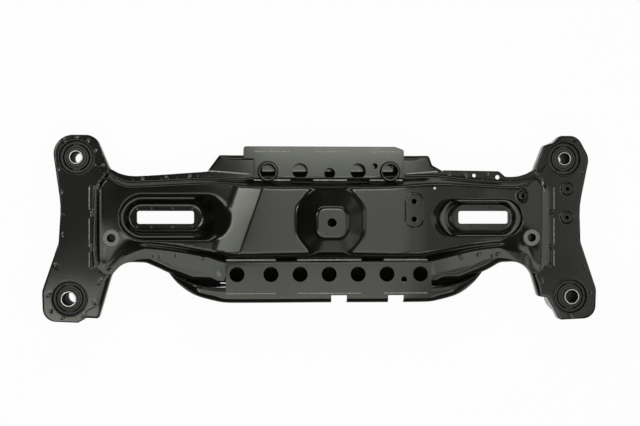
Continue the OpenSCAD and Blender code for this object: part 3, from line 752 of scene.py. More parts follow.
@dataclass(frozen=True)
class Boss:
    """The eight-sided boss that rises to a square pad.

    Attributes:
        at: its middle.
        foot: its length and width at the foot.
        cut: how far the foot's corners are cut back.
        pad: the pad's side.
        pad_r: the pad's corner radius.
        shift: how far the foot's middle lies behind the pad's.
        foot_r: radius of the foot's corners.
    """

    at: Spot
    foot: Spot
    cut: Spot
    pad: float
    pad_r: float
    shift: float = 2.0
    foot_r: float = 30.0

    def _radius(self, loop: Points, angle: np.ndarray) -> np.ndarray:
        """Distance from the middle to a loop in each direction."""
        dense = densify(loop, 1.0) - np.array(self.at)
        a = np.arctan2(dense[:, 1], dense[:, 0])
        order = np.argsort(a)
        return np.interp(angle, a[order], np.hypot(*dense[order].T), period=2 * math.pi)

    def _loops(self) -> tuple[Points, Points]:
        """The foot's loop and the pad's loop."""
        (cx, cy), (l, w), (dx, dy) = self.at, (self.foot[0] / 2, self.foot[1] / 2), self.cut
        foot = [
            (cx + sx * px, cy + self.shift + sy * py, self.foot_r)
            for sx, sy, first in ((1, -1, 0), (1, 1, 1), (-1, 1, 0), (-1, -1, 1))
            for px, py in (((l - dx, w), (l, w - dy)) if first == 0 else ((l, w - dy), (l - dx, w)))
        ]
        h = self.pad / 2
        return rounded(foot), rounded_box(cx, cy, h, h, self.pad_r)

    def share(self, pts: Points) -> np.ndarray:
        """How far each point is from the foot, at 0, to the pad, at 1 and beyond."""
        rel = pts - np.array(self.at)
        angle, r = np.arctan2(rel[:, 1], rel[:, 0]), np.hypot(*rel.T)
        foot, pad = (self._radius(loop, angle) for loop in self._loops())
        return (foot - r) / (foot - pad)

    def rings(self, shares: Sequence[float], n: int = 150) -> Points:
        """Points of the loops at the given shares."""
        angle = np.linspace(-math.pi, math.pi, n, endpoint=False)
        foot, pad = (self._radius(loop, angle) for loop in self._loops())
        out = [foot + s * (pad - foot) for s in shares]
        return np.vstack([row(self.at[0] + r * np.cos(angle), self.at[1] + r * np.sin(angle)) for r in out])


@dataclass(frozen=True)
class Levels:
    """Heights and the sheet gauge, read from the frame.

    Attributes:
        joint: top of the end plates.
        gauge: thickness of the sheets.
        boss: top of the centre boss.
        ground: the plane that the part stands on.
        lip: top of the rails' lips.
    """

    joint: float
    gauge: float
    boss: float
    ground: float
    lip: float

    @classmethod
    def read(cls) -> "Levels":
        """Reads the heights from the CAD nodes' boxes."""
        low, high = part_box("left_end_plate")
        return cls(
            joint=high.z / MM,
            gauge=(high.z - low.z) / MM,
            boss=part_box("upper_shell")[1].z / MM,
            ground=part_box("lower_shell")[0].z / MM,
            lip=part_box("front_rail")[1].z / MM,
        )


@dataclass(frozen=True)
class MountPlaces:
    """The four mounts, read from the frame.

    Attributes:
        rear_left: centre of that mount, as the next three are.
        rear_right: centre.
        front_left: centre.
        front_right: centre.
        tube_r: radius of the mount tubes.
        can_r: radius of the bush cans.
    """

    rear_left: Spot
    rear_right: Spot
    front_left: Spot
    front_right: Spot
    tube_r: float
    can_r: float

    @classmethod
    def read(cls) -> "MountPlaces":
        """Reads the mounts from the boxes of their tubes."""
        at = {}
        for name in PLACES:
            low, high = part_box(f"{name}_mount_tube")
            mid = (low + high) / 2
            at[name] = (mid.x / MM, mid.y / MM)
        can_low, can_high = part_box("rear_left_bush_can")
        return cls(**at, tube_r=(high.x - low.x) / 2 / MM, can_r=(can_high.x - can_low.x) / 2 / MM)

    def loops(self, end: End, r: float) -> list[Points]:
        """Round loops of radius r about the two mounts at one end of the part."""
        rear, front = (
            (self.rear_left, self.front_left) if end is End.LEFT else (self.rear_right, self.front_right)
        )
        return [circle(*rear, r, 72), circle(*front, r, 72)]


@dataclass(frozen=True)
class Dip:
    """A place where the flanges of both shells fall away under a bridge plate.

    Attributes:
        depth: how far they fall.
        start: where the fall starts across the part.
        run: how far it goes on across the part, with its direction.
        soft: share of the run over which its bends are rounded.
        ends: distances from the plate's middle at which it has ended and is whole.
    """

    depth: float
    start: float
    run: float
    soft: float
    ends: Spot

    def fall(self, pts: Points) -> np.ndarray:
        """How far each point falls."""
        x, y = pts.T
        across = soft_ramp((y - self.start) / self.run, self.soft)
        return self.depth * across * ease(*self.ends, np.abs(x - BRIDGE_MID))


# Under the front plate, and under the back plate.
DIPS = (Dip(13.0, -63.0, -30.0, 0.1, (183.0, 172.0)), Dip(9.0, 86.0, 14.0, 0.2, (128.0, 119.0)))
# Where the rear flange has risen again across the part, and where it starts to.
REAR_RISE = (126.0, 119.0)


def dip(pts: Points) -> np.ndarray:
    """How far the flanges of both shells fall away under the two bridge plates."""
    return ease(*REAR_RISE, pts[:, 1]) * sum(d.fall(pts) for d in DIPS)


@dataclass
class UpperShell:
    """The pressed lid: flanges, plateau, recesses, boss and laps.

    Attributes:
        levels: the part's heights.
        lap: width of the laps over the end plates.
        end_rise: rise of the plateau above the flanges at its ends.
        centre_rise: the same at its middle.
        wall_run: run of the plateau's walls for each millimetre of rise.
        least_run: the least run of a wall.
        bend: radius of the walls' bends.
        droop: slope of the front flange beside the belly.
        pad_at: middle of the flat raised pad.
        pad_half: half its length and width.
        pad_r: radius of its corners.
        pad_rise: its rise.
        pad_holes: distance of its two holes from its middle, and their radius.
        stud: middle of the small round dome.
        stud_r: its radius.
        stud_rise: its rise.
        spacer: place of the right spacer, which the left one mirrors.
        spacer_r: radius of the spacers' holes.
        rear_edge, front_edge: edges of the flanges, from the middle outwards.
        rear_shoulder, front_shoulder: edges of the plateau, from the middle outwards.
        left_ramp, right_ramp: foot and top of the ramps up to the middle.
        left_slant: how far the left ramp leans for each millimetre across the part.
        ramp_soft: shares of the left ramp over which its foot and its top are rounded.
        end_runs: distances from the seams at which the plateau is whole, on the left and on the right.
        corner_span: distances from the middle between which the front wall softens.
        corner_reach: how much longer it gets there, on the left and on the right.
        corner_shift: how far it moves back there, on the left and on the right.
        left_recess, right_recess: the deep recesses.
        left_slot, right_slot: ends and sides of the slots in their floors.
        slot_r: radius of the slots' corners.
        boss: the centre boss.
        floor: height of the recess floors.
        dents: places of spot-weld dents.
        left_crease, right_crease: lines of the creases beside the laps.
        tabs: places across the part of the small tabs on the laps.
        tab_ends: ends of the tabs along X, on the left and on the right.
    """

    levels: Levels
    lap: float = 10.0
    end_rise: float = 12.0
    centre_rise: float = 24.0
    wall_run: float = 0.65
    least_run: float = 2.0
    bend: float = 4.5
    droop: float = 0.09
    pad_at: Spot = (161.0, 32.0)
    pad_half: Spot = (16.5, 30.5)
    pad_r: float = 14.0
    pad_rise: float = 1.5
    pad_holes: Spot = (16.0, 4.75)
    stud: Spot = (360.0, 58.0)
    stud_r: float = 11.5
    stud_rise: float = 5.0
    spacer: Spot = (377.0, -17.5)
    spacer_r: float = 15.2
    rear_edge: Spots = (
        (0, 96), (130, 96), (206, 101), (225, 100), (327, 93), (350, 93.5), (367, 98), (383, 105), (390, 98),
        (399, 88), (405, 79), (408, 68),
    )
    front_edge: Spots = (
        (0, -92), (176, -88), (210, -84), (237, -81), (264, -71), (280, -64), (297, -57), (322, -55),
        (345, -59), (364, -67), (382, -83), (398, -78), (408, -65),
    )
    rear_shoulder: Spots = (
        (0, 73), (120, 75), (200, 80), (300, 76), (340, 74), (354, 75), (370, 81), (386, 89), (400, 70),
        (408, 54),
    )
    front_shoulder: Spots = (
        (0, -46), (150, -48), (178, -47), (216, -41), (272, -31), (335, -26), (362, -34), (384, -58),
        (400, -58), (408, -50),
    )
    left_ramp: Spot = (-176.0, -128.0)
    right_ramp: Spot = (300.0, 135.0)
    left_slant: float = 0.35
    ramp_soft: Spot = (0.14, 0.035)
    end_runs: Spot = (9.0, 58.0)
    corner_span: Spot = (316.0, 372.0)
    corner_reach: Spot = (28.0, 46.0)
    corner_shift: Spot = (16.0, 27.0)
    left_recess: Recess = Recess((-361, -178, 38), (-351, -213, 26), 19, 0.48)
    right_recess: Recess = Recess((203, 359, 32), (232, 350, 25.5), 18, 0.44)
    left_slot: Box = (-335, -233, 7.5, 30.5)
    right_slot: Box = (249, 341, 7.5, 30.5)
    slot_r: float = 4.0
    boss: Boss = Boss((11, 10), (121, 118), (27, 34), 55, 17)
    floor: float = 51.0
    dents: Spots = (
        (-383, -75), (-351, -48), (-306, -49), (-294, -50), (-266, -48), (-216, -54), (-323, 88), (-280, 90),
        (-239, 93), (249, -53), (282, -48), (308, -52), (318, -47), (227, 93), (257, 95), (298, 98),
    )

    left_crease: Spots = (
        (-385, 102), (-395, 92), (-403, 82), (-407, 70), (-409, 0), (-410, -40), (-407, -67), (-395, -80),
    )
    right_crease: Spots = (
        (388, 102), (398, 94), (407, 81), (411, 63), (412, -16), (412, -60), (409, -70), (399, -80),
    )
    tabs: tuple[float, ...] = (30.5, 24.5, -31, -37)
    tab_ends: Spots = ((-416, -409), (411, 420))

    def creases(self) -> tuple[Spots, ...]:
        """Lines of the creases beside the laps, and of the two small tabs on each lap."""
        tabs = (((x0, y), (x1, y)) for y in self.tabs for x0, x1 in self.tab_ends)
        return self.left_crease, self.right_crease, *tabs

    def rise(self, x: np.ndarray, y: np.ndarray) -> np.ndarray:
        """Rise of the plateau above the flanges, which falls softly at its front corners."""
        foot, top = self.left_ramp
        along = (x - self.left_slant * (y - 20) - foot) / (top - foot)
        step = np.where(x < SHELL_MID, soft_ramp(along, *self.ramp_soft), ease(*self.right_ramp, x))
        u = np.abs(x - SHELL_MID)
        steep = np.where(x < SHELL_MID, *self.end_runs)
        fade = ease(SHELL_HALF - 3, SHELL_HALF - steep, u) * (1 - 0.4 * ease(340, 388, u) * ease(20, -75, y))
        return self.end_rise * fade + (self.centre_rise - self.end_rise) * step

    def height(self, pts: Points) -> np.ndarray:
        """Height of the shell's upper face."""
        x, y = pts.T
        u = np.abs(x - SHELL_MID)
        rise = self.rise(x, y)
        run = np.maximum(self.wall_run * rise, self.least_run)
        front, rear = curve(self.front_shoulder, u), curve(self.rear_shoulder, u)
        slow = ease(*self.corner_span, u)
        reach = run + np.where(x < SHELL_MID, *self.corner_reach) * slow
        shift = np.where(x < SHELL_MID, *self.corner_shift) * slow
        soft = np.minimum(0.48, (self.bend + 14 * slow) / reach)
        near = soft_ramp((y - front - shift + reach) / reach, soft)
        far = soft_ramp((rear + run - y) / run, np.minimum(0.48, self.bend / run))
        z = self.levels.joint + rise * near * far
        z -= self.droop * np.clip(front - run - 2 - y, 0, 26) * ease(176, 200, u) * ease(400, 380, u)
        z -= dip(pts)
        z += self.levels.gauge * ease(SHELL_HALF - 13, SHELL_HALF - 2, u) * ease(92, 74, np.abs(y - 2))
        for recess in (self.left_recess, self.right_recess):
            share = soft_ramp(recess.share(pts), recess.soft, 0.3)
            z = z * (1 - share) + self.floor * share
        z += (self.levels.boss - self.levels.joint - self.centre_rise) * soft_ramp(self.boss.share(pts), 0.13)
        beyond = np.abs(pts - self.pad_at) - self.pad_half + self.pad_r
        z += self.pad_rise * ease(self.pad_r + 1, self.pad_r - 2, np.hypot(*np.maximum(beyond, 0).T))
        around = np.hypot(x - self.stud[0], y - self.stud[1])
        return z + self.stud_rise * soft_ramp((self.stud_r - around) / 5.0, 0.35)

    def outline(self) -> Points:
        """Outer loop of the shell, with its rear tab and its laps."""
        x = np.linspace(SHELL_MID - SHELL_HALF + 2, SHELL_MID + SHELL_HALF - 2, 210)
        front = row(x, curve(self.front_edge, np.abs(x - SHELL_MID)))
        back = curve(self.rear_edge, np.abs(x - SHELL_MID))
        tab = np.interp(x, (206, 216, 320, 331, 336), (90, 104.5, 103, 93, 88), left=0, right=0)
        rear = row(x, np.maximum(back, tab))[::-1]
        right, left = SHELL_MID + SHELL_HALF + self.lap, SHELL_MID - SHELL_HALF - self.lap
        right_lap = [(right - 3, -73.2), (right, -71), (right, 75), (right - 3, 77.2)]
        left_lap = [(left + 3, 77.2), (left, 75), (left, -71), (left + 3, -73.2)]
        return np.vstack((front, right_lap, rear, left_lap))

    def slots(self) -> list[Points]:
        """Loops of the slots in the recess floors."""
        r = self.slot_r
        return [
            rounded([(x0, y0, r), (x1, y0, r), (x1, y1, r), (x0, y1, r)])
            for x0, x1, y0, y1 in (self.left_slot, self.right_slot)
        ]

    def holes(self) -> list[Points]:
        """Slots and drilled holes."""
        (px, py), (bx, by), (sx, sy) = self.pad_at, self.boss.at, self.spacer
        off, pad_r = self.pad_holes
        drilled = [
            (bx, by, 8.0), (px, py + off, pad_r), (px, py - off, pad_r), (274, 95, 3.25), (317, 92, 4.0),
            (199, 71, 2.5), (*self.stud, 3.5), (bx - 9, by - 20, 1.5), (sx, sy, self.spacer_r),
            (-sx, sy, self.spacer_r),
        ]
        return self.slots() + [circle(x, y, r, 40 if r > 6 else 24) for x, y, r in drilled]

    def guides(self) -> list[Points]:
        """Points that follow the bends: recess walls, boss slopes, shoulders and laps."""
        shares = np.linspace(-0.48, 1.22, 22)
        walls = np.vstack([r.ring(s) for r in (self.left_recess, self.right_recess) for s in shares])
        slopes = self.boss.rings(np.linspace(-0.14, 1.14, 20))
        end = 38
        tight = SHELL_HALF - np.arange(1, end, 1.2)
        even = np.arange(end - SHELL_HALF, SHELL_HALF - end, 3.4)
        x = np.sort(np.hstack((even, tight, -tight))) + SHELL_MID
        u = np.abs(x - SHELL_MID)
        run = np.maximum(self.wall_run * self.rise(x, np.zeros_like(x)), self.least_run)
        lines = []
        for t in np.linspace(-0.45, 1.45, 12):
            lines.append(row(x, curve(self.front_shoulder, u) - run * (1 - t)))
            lines.append(row(x, curve(self.rear_shoulder, u) + run * (1 - t)))
        stud = np.vstack([circle(*self.stud, r, 40) for r in (5.0, 6.5, 8, 10, 11.5, 13)])
        pad = np.vstack([
            densify(rounded_box(*self.pad_at, *(half + g for half in self.pad_half), self.pad_r + g), 2.5)
            for g in (-2.8, -1.9, -1.0, 0.0, 0.9, 1.8)
        ])
        y = np.arange(-66, 80, 2.4)
        ends = [row(SHELL_MID - SHELL_HALF + d, y) for d in np.arange(1.5, 12, 1.2)]
        foot, top = self.left_ramp
        y = np.arange(-48, 82, 3.0)
        ramp = [
            row(foot + t * (top - foot) + self.left_slant * (y - 20), y)
            for t in (-0.13, -0.08, -0.04, 0, 0.04, 0.08, 0.13, 0.92, 0.95, 0.975, 1, 1.025, 1.05, 1.08)
        ]
        return [walls, slopes, stud, pad, np.vstack(ends), np.vstack(ramp), np.vstack(lines)]

    def build(self, shop: Shop) -> None:
        """Makes and dresses the shell."""
        sheet = Pressing(
            "pressed_upper_shell", self.outline(), self.holes(), self.height, self.levels.gauge,
            self.guides(), 3.6, dents=self.dents, ridges=self.creases(),
        )
        dress(sheet.build(), shop.get(Finishes.PAINT), Slot.PAINT, "upper_shell")


@dataclass
class Ears:
    """Outlines that the end plates and the lower shell share: the four ears round the mounts.

    Attributes:
        mounts: the mounts' places.
        seam_gap: gap between an end plate and the shell's seam.
        waist: half the part's length between the ears.
    """

    mounts: MountPlaces
    seam_gap: float = 0.5
    waist: float = SHELL_HALF + 59

    def left_rear(self) -> list[Corner]:
        """Corners of the rear left ear, from the arch outwards."""
        x, y = self.mounts.rear_left
        return [(x + 33, y + 40, 24), (x - 45, y + 40, 34), (-self.waist, 40, 150)]

    def left_front(self) -> list[Corner]:
        """Corners of the front left ear, from the waist to the front."""
        x, y = self.mounts.front_left
        return [(-self.waist - 4, -26, 12), (x - 48, y + 13, 30), (x - 46, y - 40, 24), (x + 15, y - 43, 5)]

    def right_front(self) -> list[Corner]:
        """Corners of the front right ear, from the front to the waist."""
        x, y = self.mounts.front_right
        return [(x - 19, y - 43, 5), (x + 46, y - 40, 24), (x + 48, y + 13, 30), (self.waist + 4, -26, 12)]

    def right_rear(self) -> list[Corner]:
        """Corners of the rear right ear, from the waist to the arch."""
        x, y = self.mounts.rear_right
        return [
            (self.waist + 2, 40, 150), (x + 47, y + 2, 30), (x + 25, y + 42, 24), (x - 6, y + 42, 6),
            (x - 19, y + 29, 6), (x - 35, y + 25, 8),
        ]

    def seam(self, end: End, rear_y: float) -> list[Corner]:
        """Corners of an end plate's edge against the shell, from the front to the rear."""
        s = end.value
        x, tip = SHELL_MID + s * (SHELL_HALF + self.seam_gap), SHELL_MID + s * (SHELL_HALF - 24)
        return [
            (tip, -85, 0), (x - s * 9, -79, 4), (x, -66, 8), (x, 70, 8), (x - s * 3.4, 81.6, 4),
            (tip, rear_y, 0),
        ]


# Places of spot-weld dents in the end plates, and lines of their creases.
PLATE_DENTS = {
    End.LEFT: (
        (-441, 161), (-420, 156), (-462, 155), (-407, 138), (-472, 106), (-394, 112), (-466, 65), (-464, 27),
        (-464, -12), (-476, -67), (-488, -117), (-484, -146), (-463, -158), (-428, -157), (-407, -133),
        (-398, -95),
    ),
    End.RIGHT: (
        (459, 160), (473, 102), (469, 22), (470, -16), (400, -98), (476, -70), (489, -120), (452, -163),
    ),
}
PLATE_CREASES = {End.LEFT: (((-389, 98), (-404, 112)),), End.RIGHT: (((391, 96), (405, 110)),)}


@dataclass
class EndPlate:
    """A flat pressed plate on two ears, with a rolled outer edge.

    Attributes:
        end: which end of the part it is at.
        ears: the ears' outlines.
        levels: the part's heights.
        dimples: places of raised dimples with a hole.
        dimple_r: radius of a dimple.
        dimple_rise: its rise.
        dimple_hole: radius of its hole.
        roll: width of the rolled edge.
        roll_drop: how far the edge rolls down.
    """

    end: End
    ears: Ears
    levels: Levels
    dimples: Spots = ()
    dimple_r: float = 12.5
    dimple_rise: float = 2.8
    dimple_hole: float = 3.5
    roll: float = 3.0
    roll_drop: float = 0.6

    def corners(self) -> tuple[list[Corner], list[Corner]]:
        """The free edge's corners and the seam's corners, in one direction round the plate."""
        m = self.ears.mounts
        if self.end is End.LEFT:
            x, y = m.front_left
            free = self.ears.left_rear() + self.ears.left_front() + [
                (x + 28, y - 36, 3), (x + 31, y - 23, 5), (x + 48, y - 14, 8), (x + 57, y + 24, 10)
            ]
            return free, self.ears.seam(self.end, 107)
        x, y = m.front_right
        free = [
            (x - 58, y + 20, 10), (x - 55, y, 4), (x - 42, y - 2, 6), (x - 28, y - 25, 8)
        ] + self.ears.right_front() + self.ears.right_rear()
        return free, self.ears.seam(self.end, 108)[::-1]

    def build(self, shop: Shop) -> None:
        """Makes and dresses the plate."""
        free, seam = self.corners()
        loop = rounded(free + seam)
        ends = [np.array(seam[-1][:2]), np.array(seam[0][:2])]
        i, j = (int(np.argmin(np.hypot(*(loop - e).T))) for e in ends)
        edge = np.vstack((loop[i:], loop[:j + 1])) if i > j else loop[i:j + 1]
        cans = self.ears.mounts.loops(self.end, self.ears.mounts.can_r + 0.3)

        def height(pts: Points) -> np.ndarray:
            """Height of the plate's upper face."""
            d = edge_distance(edge, pts, closed=False)
            z = self.levels.joint - self.roll_drop * np.clip(1 - d / self.roll, 0, 1) ** 2
            for x, y in self.dimples:
                around = np.hypot(pts[:, 0] - x, pts[:, 1] - y)
                z += self.dimple_rise * soft_ramp((self.dimple_r - around) / 3.0, 0.3)
            return z

        close = anticlockwise(densify(loop, 3.0))
        guides = [np.vstack([inset(close, d) for d in (1.2, 2.4, 3.6, 4.8)])]
        guides += [
            circle(x, y, r, 44) for x, y in self.dimples for r in (8.2, 9.0, 9.8, 10.8, 11.8, 12.6, 13.5)
        ]
        sheet = Pressing(
            f"pressed_{self.end.name.lower()}_end_plate", loop,
            cans + [circle(x, y, self.dimple_hole, 28) for x, y in self.dimples], height, self.levels.gauge,
            guides, 4.0, dents=PLATE_DENTS[self.end], ridges=PLATE_CREASES[self.end],
        )
        dress(sheet.build(), shop.get(Finishes.PAINT), Slot.PAINT, f"{self.end.name.lower()}_end_plate")


@dataclass
class LowerShell:
    """The full-length lower pressing with its skirt, tray and sump.

    Attributes:
        ears: the ears' outlines.
        levels: the part's heights.
        bend: radius of the bend into the skirt.
        wide_bend: the same on the arches, the slits and the arms' rear edge.
        skirt_h: height of the skirt.
        drains: places and radii of the drain holes.
        dimples: places of the wells under the right end plate's dimples.
        well: depth of a well.
        well_r: its radius.
        well_run: run of its wall.
        tray: middle and half sizes of the tray.
        tray_r: radius of its corners.
        tray_top: height of its floor's upper face.
        sump: middle and half sizes of the sump at its rim.
        sump_r: radius of its corners.
        arm_end: half the length of the arms behind the shell.
        front_y: place of the front edge behind the front bridge plate.
    """

    ears: Ears
    levels: Levels
    bend: float = 4.0
    wide_bend: float = 11.0
    skirt_h: float = 22.0
    drains: tuple[Corner, ...] = ((201.5, 71.5, 4.5), (11.0, -12.5, 3.0))
    dimples: Spots = ((446, 71), (445, 19))
    well: float = 14.0
    well_r: float = 13.0
    well_run: float = 8.0
    tray: Box = (2.0, 24.0, 366.0, 46.0)
    tray_r: float = 34.0
    tray_top: float = 48.0
    sump: Box = (7.0, 24.0, 198.0, 38.0)
    sump_r: float = 26.0
    arm_end: float = 215.0
    front_y: float = -98.6

    def outline(self) -> Points:
        """Outer loop of the shell, with the arms behind it."""
        m, h = self.ears.mounts, SHELL_HALF
        (lx, ly), (rx, ry) = m.front_left, m.front_right
        u = np.linspace(243, 300, 8)
        slit = [(float(a), float(b)) for a, b in zip(u, curve(RAIL_INNER, u) + 0.5)]
        arm = self.arm_end
        corners = [
            (81 - h, 92, 60), (32 - h, 92, 34), *self.ears.left_rear(), *self.ears.left_front(),
            (lx + 29, ly - 35, 5), (lx + 51, ly - 36, 5), (36 - h, -60, 40), (90 - h, -62, 24),
            *((BELLY_MID - a, b, 0) for a, b in slit[::-1]), (BELLY_MID - 168, self.front_y, 0),
            (BELLY_MID + 176, self.front_y, 0), *((BELLY_MID + a, b, 0) for a, b in slit),
            (h - 84, -63, 24), (h - 32, -61, 40), (rx - 57, ry - 1, 5), (rx - 42, ry - 2, 5),
            (rx - 28, ry - 25, 8), *self.ears.right_front(), *self.ears.right_rear(),
            (h - 27, 92, 30), (h - 66, 84, 20), (arm + 11, 84, 6), (arm + 7, 95, 4), (arm + 1, 104, 5),
            (arm - 17, 114, 8), (arm - 23, 131, 6), (28 - arm, 131, 5), (3 - arm, 97, 6),
        ]
        return rounded(corners)

    def edge_bend(self, pts: Points) -> np.ndarray:
        """Radius of the bend into the skirt, wide on the arches, the slits and the arms' rear edge."""
        x, y = pts.T
        u = np.abs(x - BELLY_MID)
        arch = ease(404, 392, np.abs(x)) * ease(-150, -132, y) * ease(-20, -40, y) * ease(196, 212, u)
        arm = ease(183, 165, np.abs(x)) * ease(122, 128, y)
        return self.bend + (self.wide_bend - self.bend) * np.maximum(arch, 0.7 * arm)

    def _box(self, pts: Points, box: Box, r: float) -> np.ndarray:
        """Distance inside a rounded rectangle given by its middle and half sizes, negative outside."""
        dx, dy = np.abs(pts[:, 0] - box[0]) - box[2] + r, np.abs(pts[:, 1] - box[1]) - box[3] + r
        return r - np.hypot(np.maximum(dx, 0), np.maximum(dy, 0)) - np.minimum(np.maximum(dx, dy), 0)

    def build(self, shop: Shop) -> None:
        """Makes and dresses the shell."""
        top = self.levels.joint - self.levels.gauge
        bottom = self.levels.ground + self.levels.gauge

        def height(pts: Points) -> np.ndarray:
            """Height of the shell's upper face."""
            tray = soft_ramp((self._box(pts, self.tray, self.tray_r) + 1) / 5.0, 0.4)
            sump = soft_ramp((self._box(pts, self.sump, self.sump_r) - 1) / 12.0, 0.25)
            x, y = pts.T
            wells = sum(
                self.well * soft_ramp((self.well_r - np.hypot(x - a, y - b)) / self.well_run, 0.3)
                for a, b in self.dimples
            )
            fall = dip(pts) + wells
            return top - (top - self.tray_top) * tray - (self.tray_top - bottom) * sump - fall

        def rings(box: Box, insets: Sequence[float], r: float) -> Points:
            """Loops of a rounded rectangle at several insets."""
            x, y, l, w = box
            return np.vstack([densify(rounded_box(x, y, l - d, w - d, r - d), 2.5) for d in insets])

        guides = [
            rings(self.tray, np.linspace(-3, 7, 9), self.tray_r),
            rings(self.sump, np.linspace(-3, 17, 13), self.sump_r),
        ]
        along = np.arange(-124, 143, 3.5)
        guides += [row(along, y) for y in np.arange(85, 127, 2.0)]
        tube_hole = self.ears.mounts.tube_r + 0.3
        holes = [loop for end in (End.LEFT, End.RIGHT) for loop in self.ears.mounts.loops(end, tube_hole)]
        holes += UpperShell(self.levels).slots() + [circle(x, y, r, 24) for x, y, r in self.drains]
        sheet = Pressing(
            "pressed_lower_shell", self.outline(), holes, height, self.levels.gauge, guides, 5.0,
            self.skirt_h, self.edge_bend,
        )
        dress(sheet.build(), shop.get(Finishes.PAINT), Slot.PAINT, "lower_shell")


@dataclass
class FrontRail:
    """The curved channel that forms the belly, with two notches in its lip.

    Attributes:
        levels: the part's heights.
        reach: half its length.
        wall_h: height of its inner wall.
        skirt_h: height of its turned-down outer edge.
        bend: radius of its inner bend.
        nose: width of its rolled outer edge.
        dive: how far its ends fall.
        tuck: how far its ends draw back under the lower shell.
        foot_end: half the length of its foot.
        notches: middles of the notches.
        notch_w: their width.
        notch_depth: their depth.
        outer: its outer edge, from the middle outwards.
    """

    levels: Levels
    reach: float = 303.0
    wall_h: float = 60.0
    skirt_h: float = 14.0
    bend: float = 4.5
    nose: float = 8.0
    dive: float = 25.0
    tuck: float = 9.0
    foot_end: float = 250.0
    notches: Spot = (27.0, 129.5)
    notch_w: float = 28.0
    notch_depth: float = 13.0
    outer: Spots = (
        (0, -133.5), (172, -133.5), (192, -132), (214, -127), (236, -120), (253, -111), (274, -95),
        (295, -79),
    )

    def section(self, x: float) -> tuple[list[tuple[float, float]], int]:
        """Section of the rail's outer face at x, and the number of the column where a notch starts."""
        u = np.array([abs(x - BELLY_MID)])
        yi, yo = float(curve(RAIL_INNER, u)[0]), float(curve(self.outer, u)[0])
        end = float(ease(268, self.reach, u)[0])
        yi, yo = yi + self.tuck * end, yo + 0.85 * (yi - yo) * end + self.tuck * end
        r = min(self.bend, 0.25 * (yi - yo))
        nose = min(self.nose + 5 * float(ease(185, 215, u)[0]), 0.45 * (yi - yo))
        top = self.levels.lip - self.dive * float(ease(225, 296, u)[0])
        foot = self.levels.lip - self.wall_h + self.levels.gauge
        reach = 4.0 + 8.0 * float(ease(190, 206, u)[0]) if u[0] < self.foot_end else 2.4
        turn = np.linspace(0, math.pi / 2, 6)
        line = [(yi + reach, foot), (yi + 2, foot), (yi + 0.6, foot + 0.6), (yi, foot + 2)]
        line += [(yi, (foot + top) / 2)]
        line += [(yi - r + r * math.cos(a), top - r + r * math.sin(a)) for a in turn]
        notch = min(yi - r - 0.5, yo + self.notch_depth)
        line += [(yi - r + (notch - yi + r) / 2, top), (notch, top)]
        start = len(line) - 1
        line += [(yo + nose * a, top - nose * b) for a, b in ROLL]
        line += [(yo, top - self.skirt_h)]
        return line, start

    def build(self, shop: Shop) -> None:
        """Makes and dresses the rail."""
        gaps = [(x - self.notch_w / 2, x + self.notch_w / 2) for x in self.notches]
        xs = sorted({
            *np.round(np.linspace(BELLY_MID - self.reach, BELLY_MID + self.reach, 110), 3),
            *(x for gap in gaps for x in gap),
        })
        sections = [self.section(x) for x in xs]
        m = len(sections[0][0])
        verts = [(x, y, z) for x, (line, _) in zip(xs, sections) for y, z in line]
        faces = []
        for i in range(len(xs) - 1):
            mid = (xs[i] + xs[i + 1]) / 2
            notched = any(a < mid < b for a, b in gaps)
            last = sections[i][1] if notched else m - 1
            faces += [(i * m + j, i * m + j + 1, (i + 1) * m + j + 1, (i + 1) * m + j) for j in range(last)]
        obj = new_object("pressed_front_rail", verts, faces)
        with mesh_edit(obj) as work:
            bmesh.ops.delete(work, geom=[v for v in work.verts if not v.link_faces], context="VERTS")
        form_sheet(obj, self.levels.gauge)
        dress(obj, shop.get(Finishes.PAINT), Slot.PAINT, "front_rail")


@dataclass
class CutPlate:
    """A piece of plate whose CAD solid gets broken edges.

    Attributes:
        node: the CAD node.
        nodes: the frame's objects by node.
        edge: width of the broken edges.
    """

    node: str
    nodes: dict[str, bpy.types.Object]
    edge: float = 0.7

    def build(self, shop: Shop) -> None:
        """Copies the solid, breaks its edges and dresses it."""
        obj = bpy.data.objects.new(f"welded_{self.node}", self.nodes[self.node].data.copy())
        bpy.context.scene.collection.objects.link(obj)
        merge(obj)
        with mesh_edit(obj) as work:
            bmesh.ops.dissolve_limit(work, angle_limit=math.radians(0.5), verts=work.verts, edges=work.edges)
        break_edges(obj, self.edge, 3, 50.0)
        bake(obj)
        smooth(obj, 15)
        dress(obj, shop.get(Finishes.PAINT), Slot.PAINT, self.node)


def lathe(name: str, at: tuple[float, float], profile: Sequence, n: int = 96) -> bpy.types.Object:
    """Turns a closed profile round an upright axis.

    Args:
        name: the object's name.
        at: the axis.
        profile: points as radius and height.
        n: steps round the axis.

    Returns:
        The object, with its faces outwards.
    """
    angle = np.arange(n) * 2 * math.pi / n
    m = len(profile)
    verts = [(at[0] + r * math.cos(a), at[1] + r * math.sin(a), z) for a in angle for r, z in profile]
    faces = [
        (i * m + j, ((i + 1) % n) * m + j, ((i + 1) % n) * m + (j + 1) % m, i * m + (j + 1) % m)
        for i in range(n) for j in range(m)
    ]
    obj = new_object(name, verts, faces)
    merge(obj, recalc=True)
    smooth(obj)
    return obj


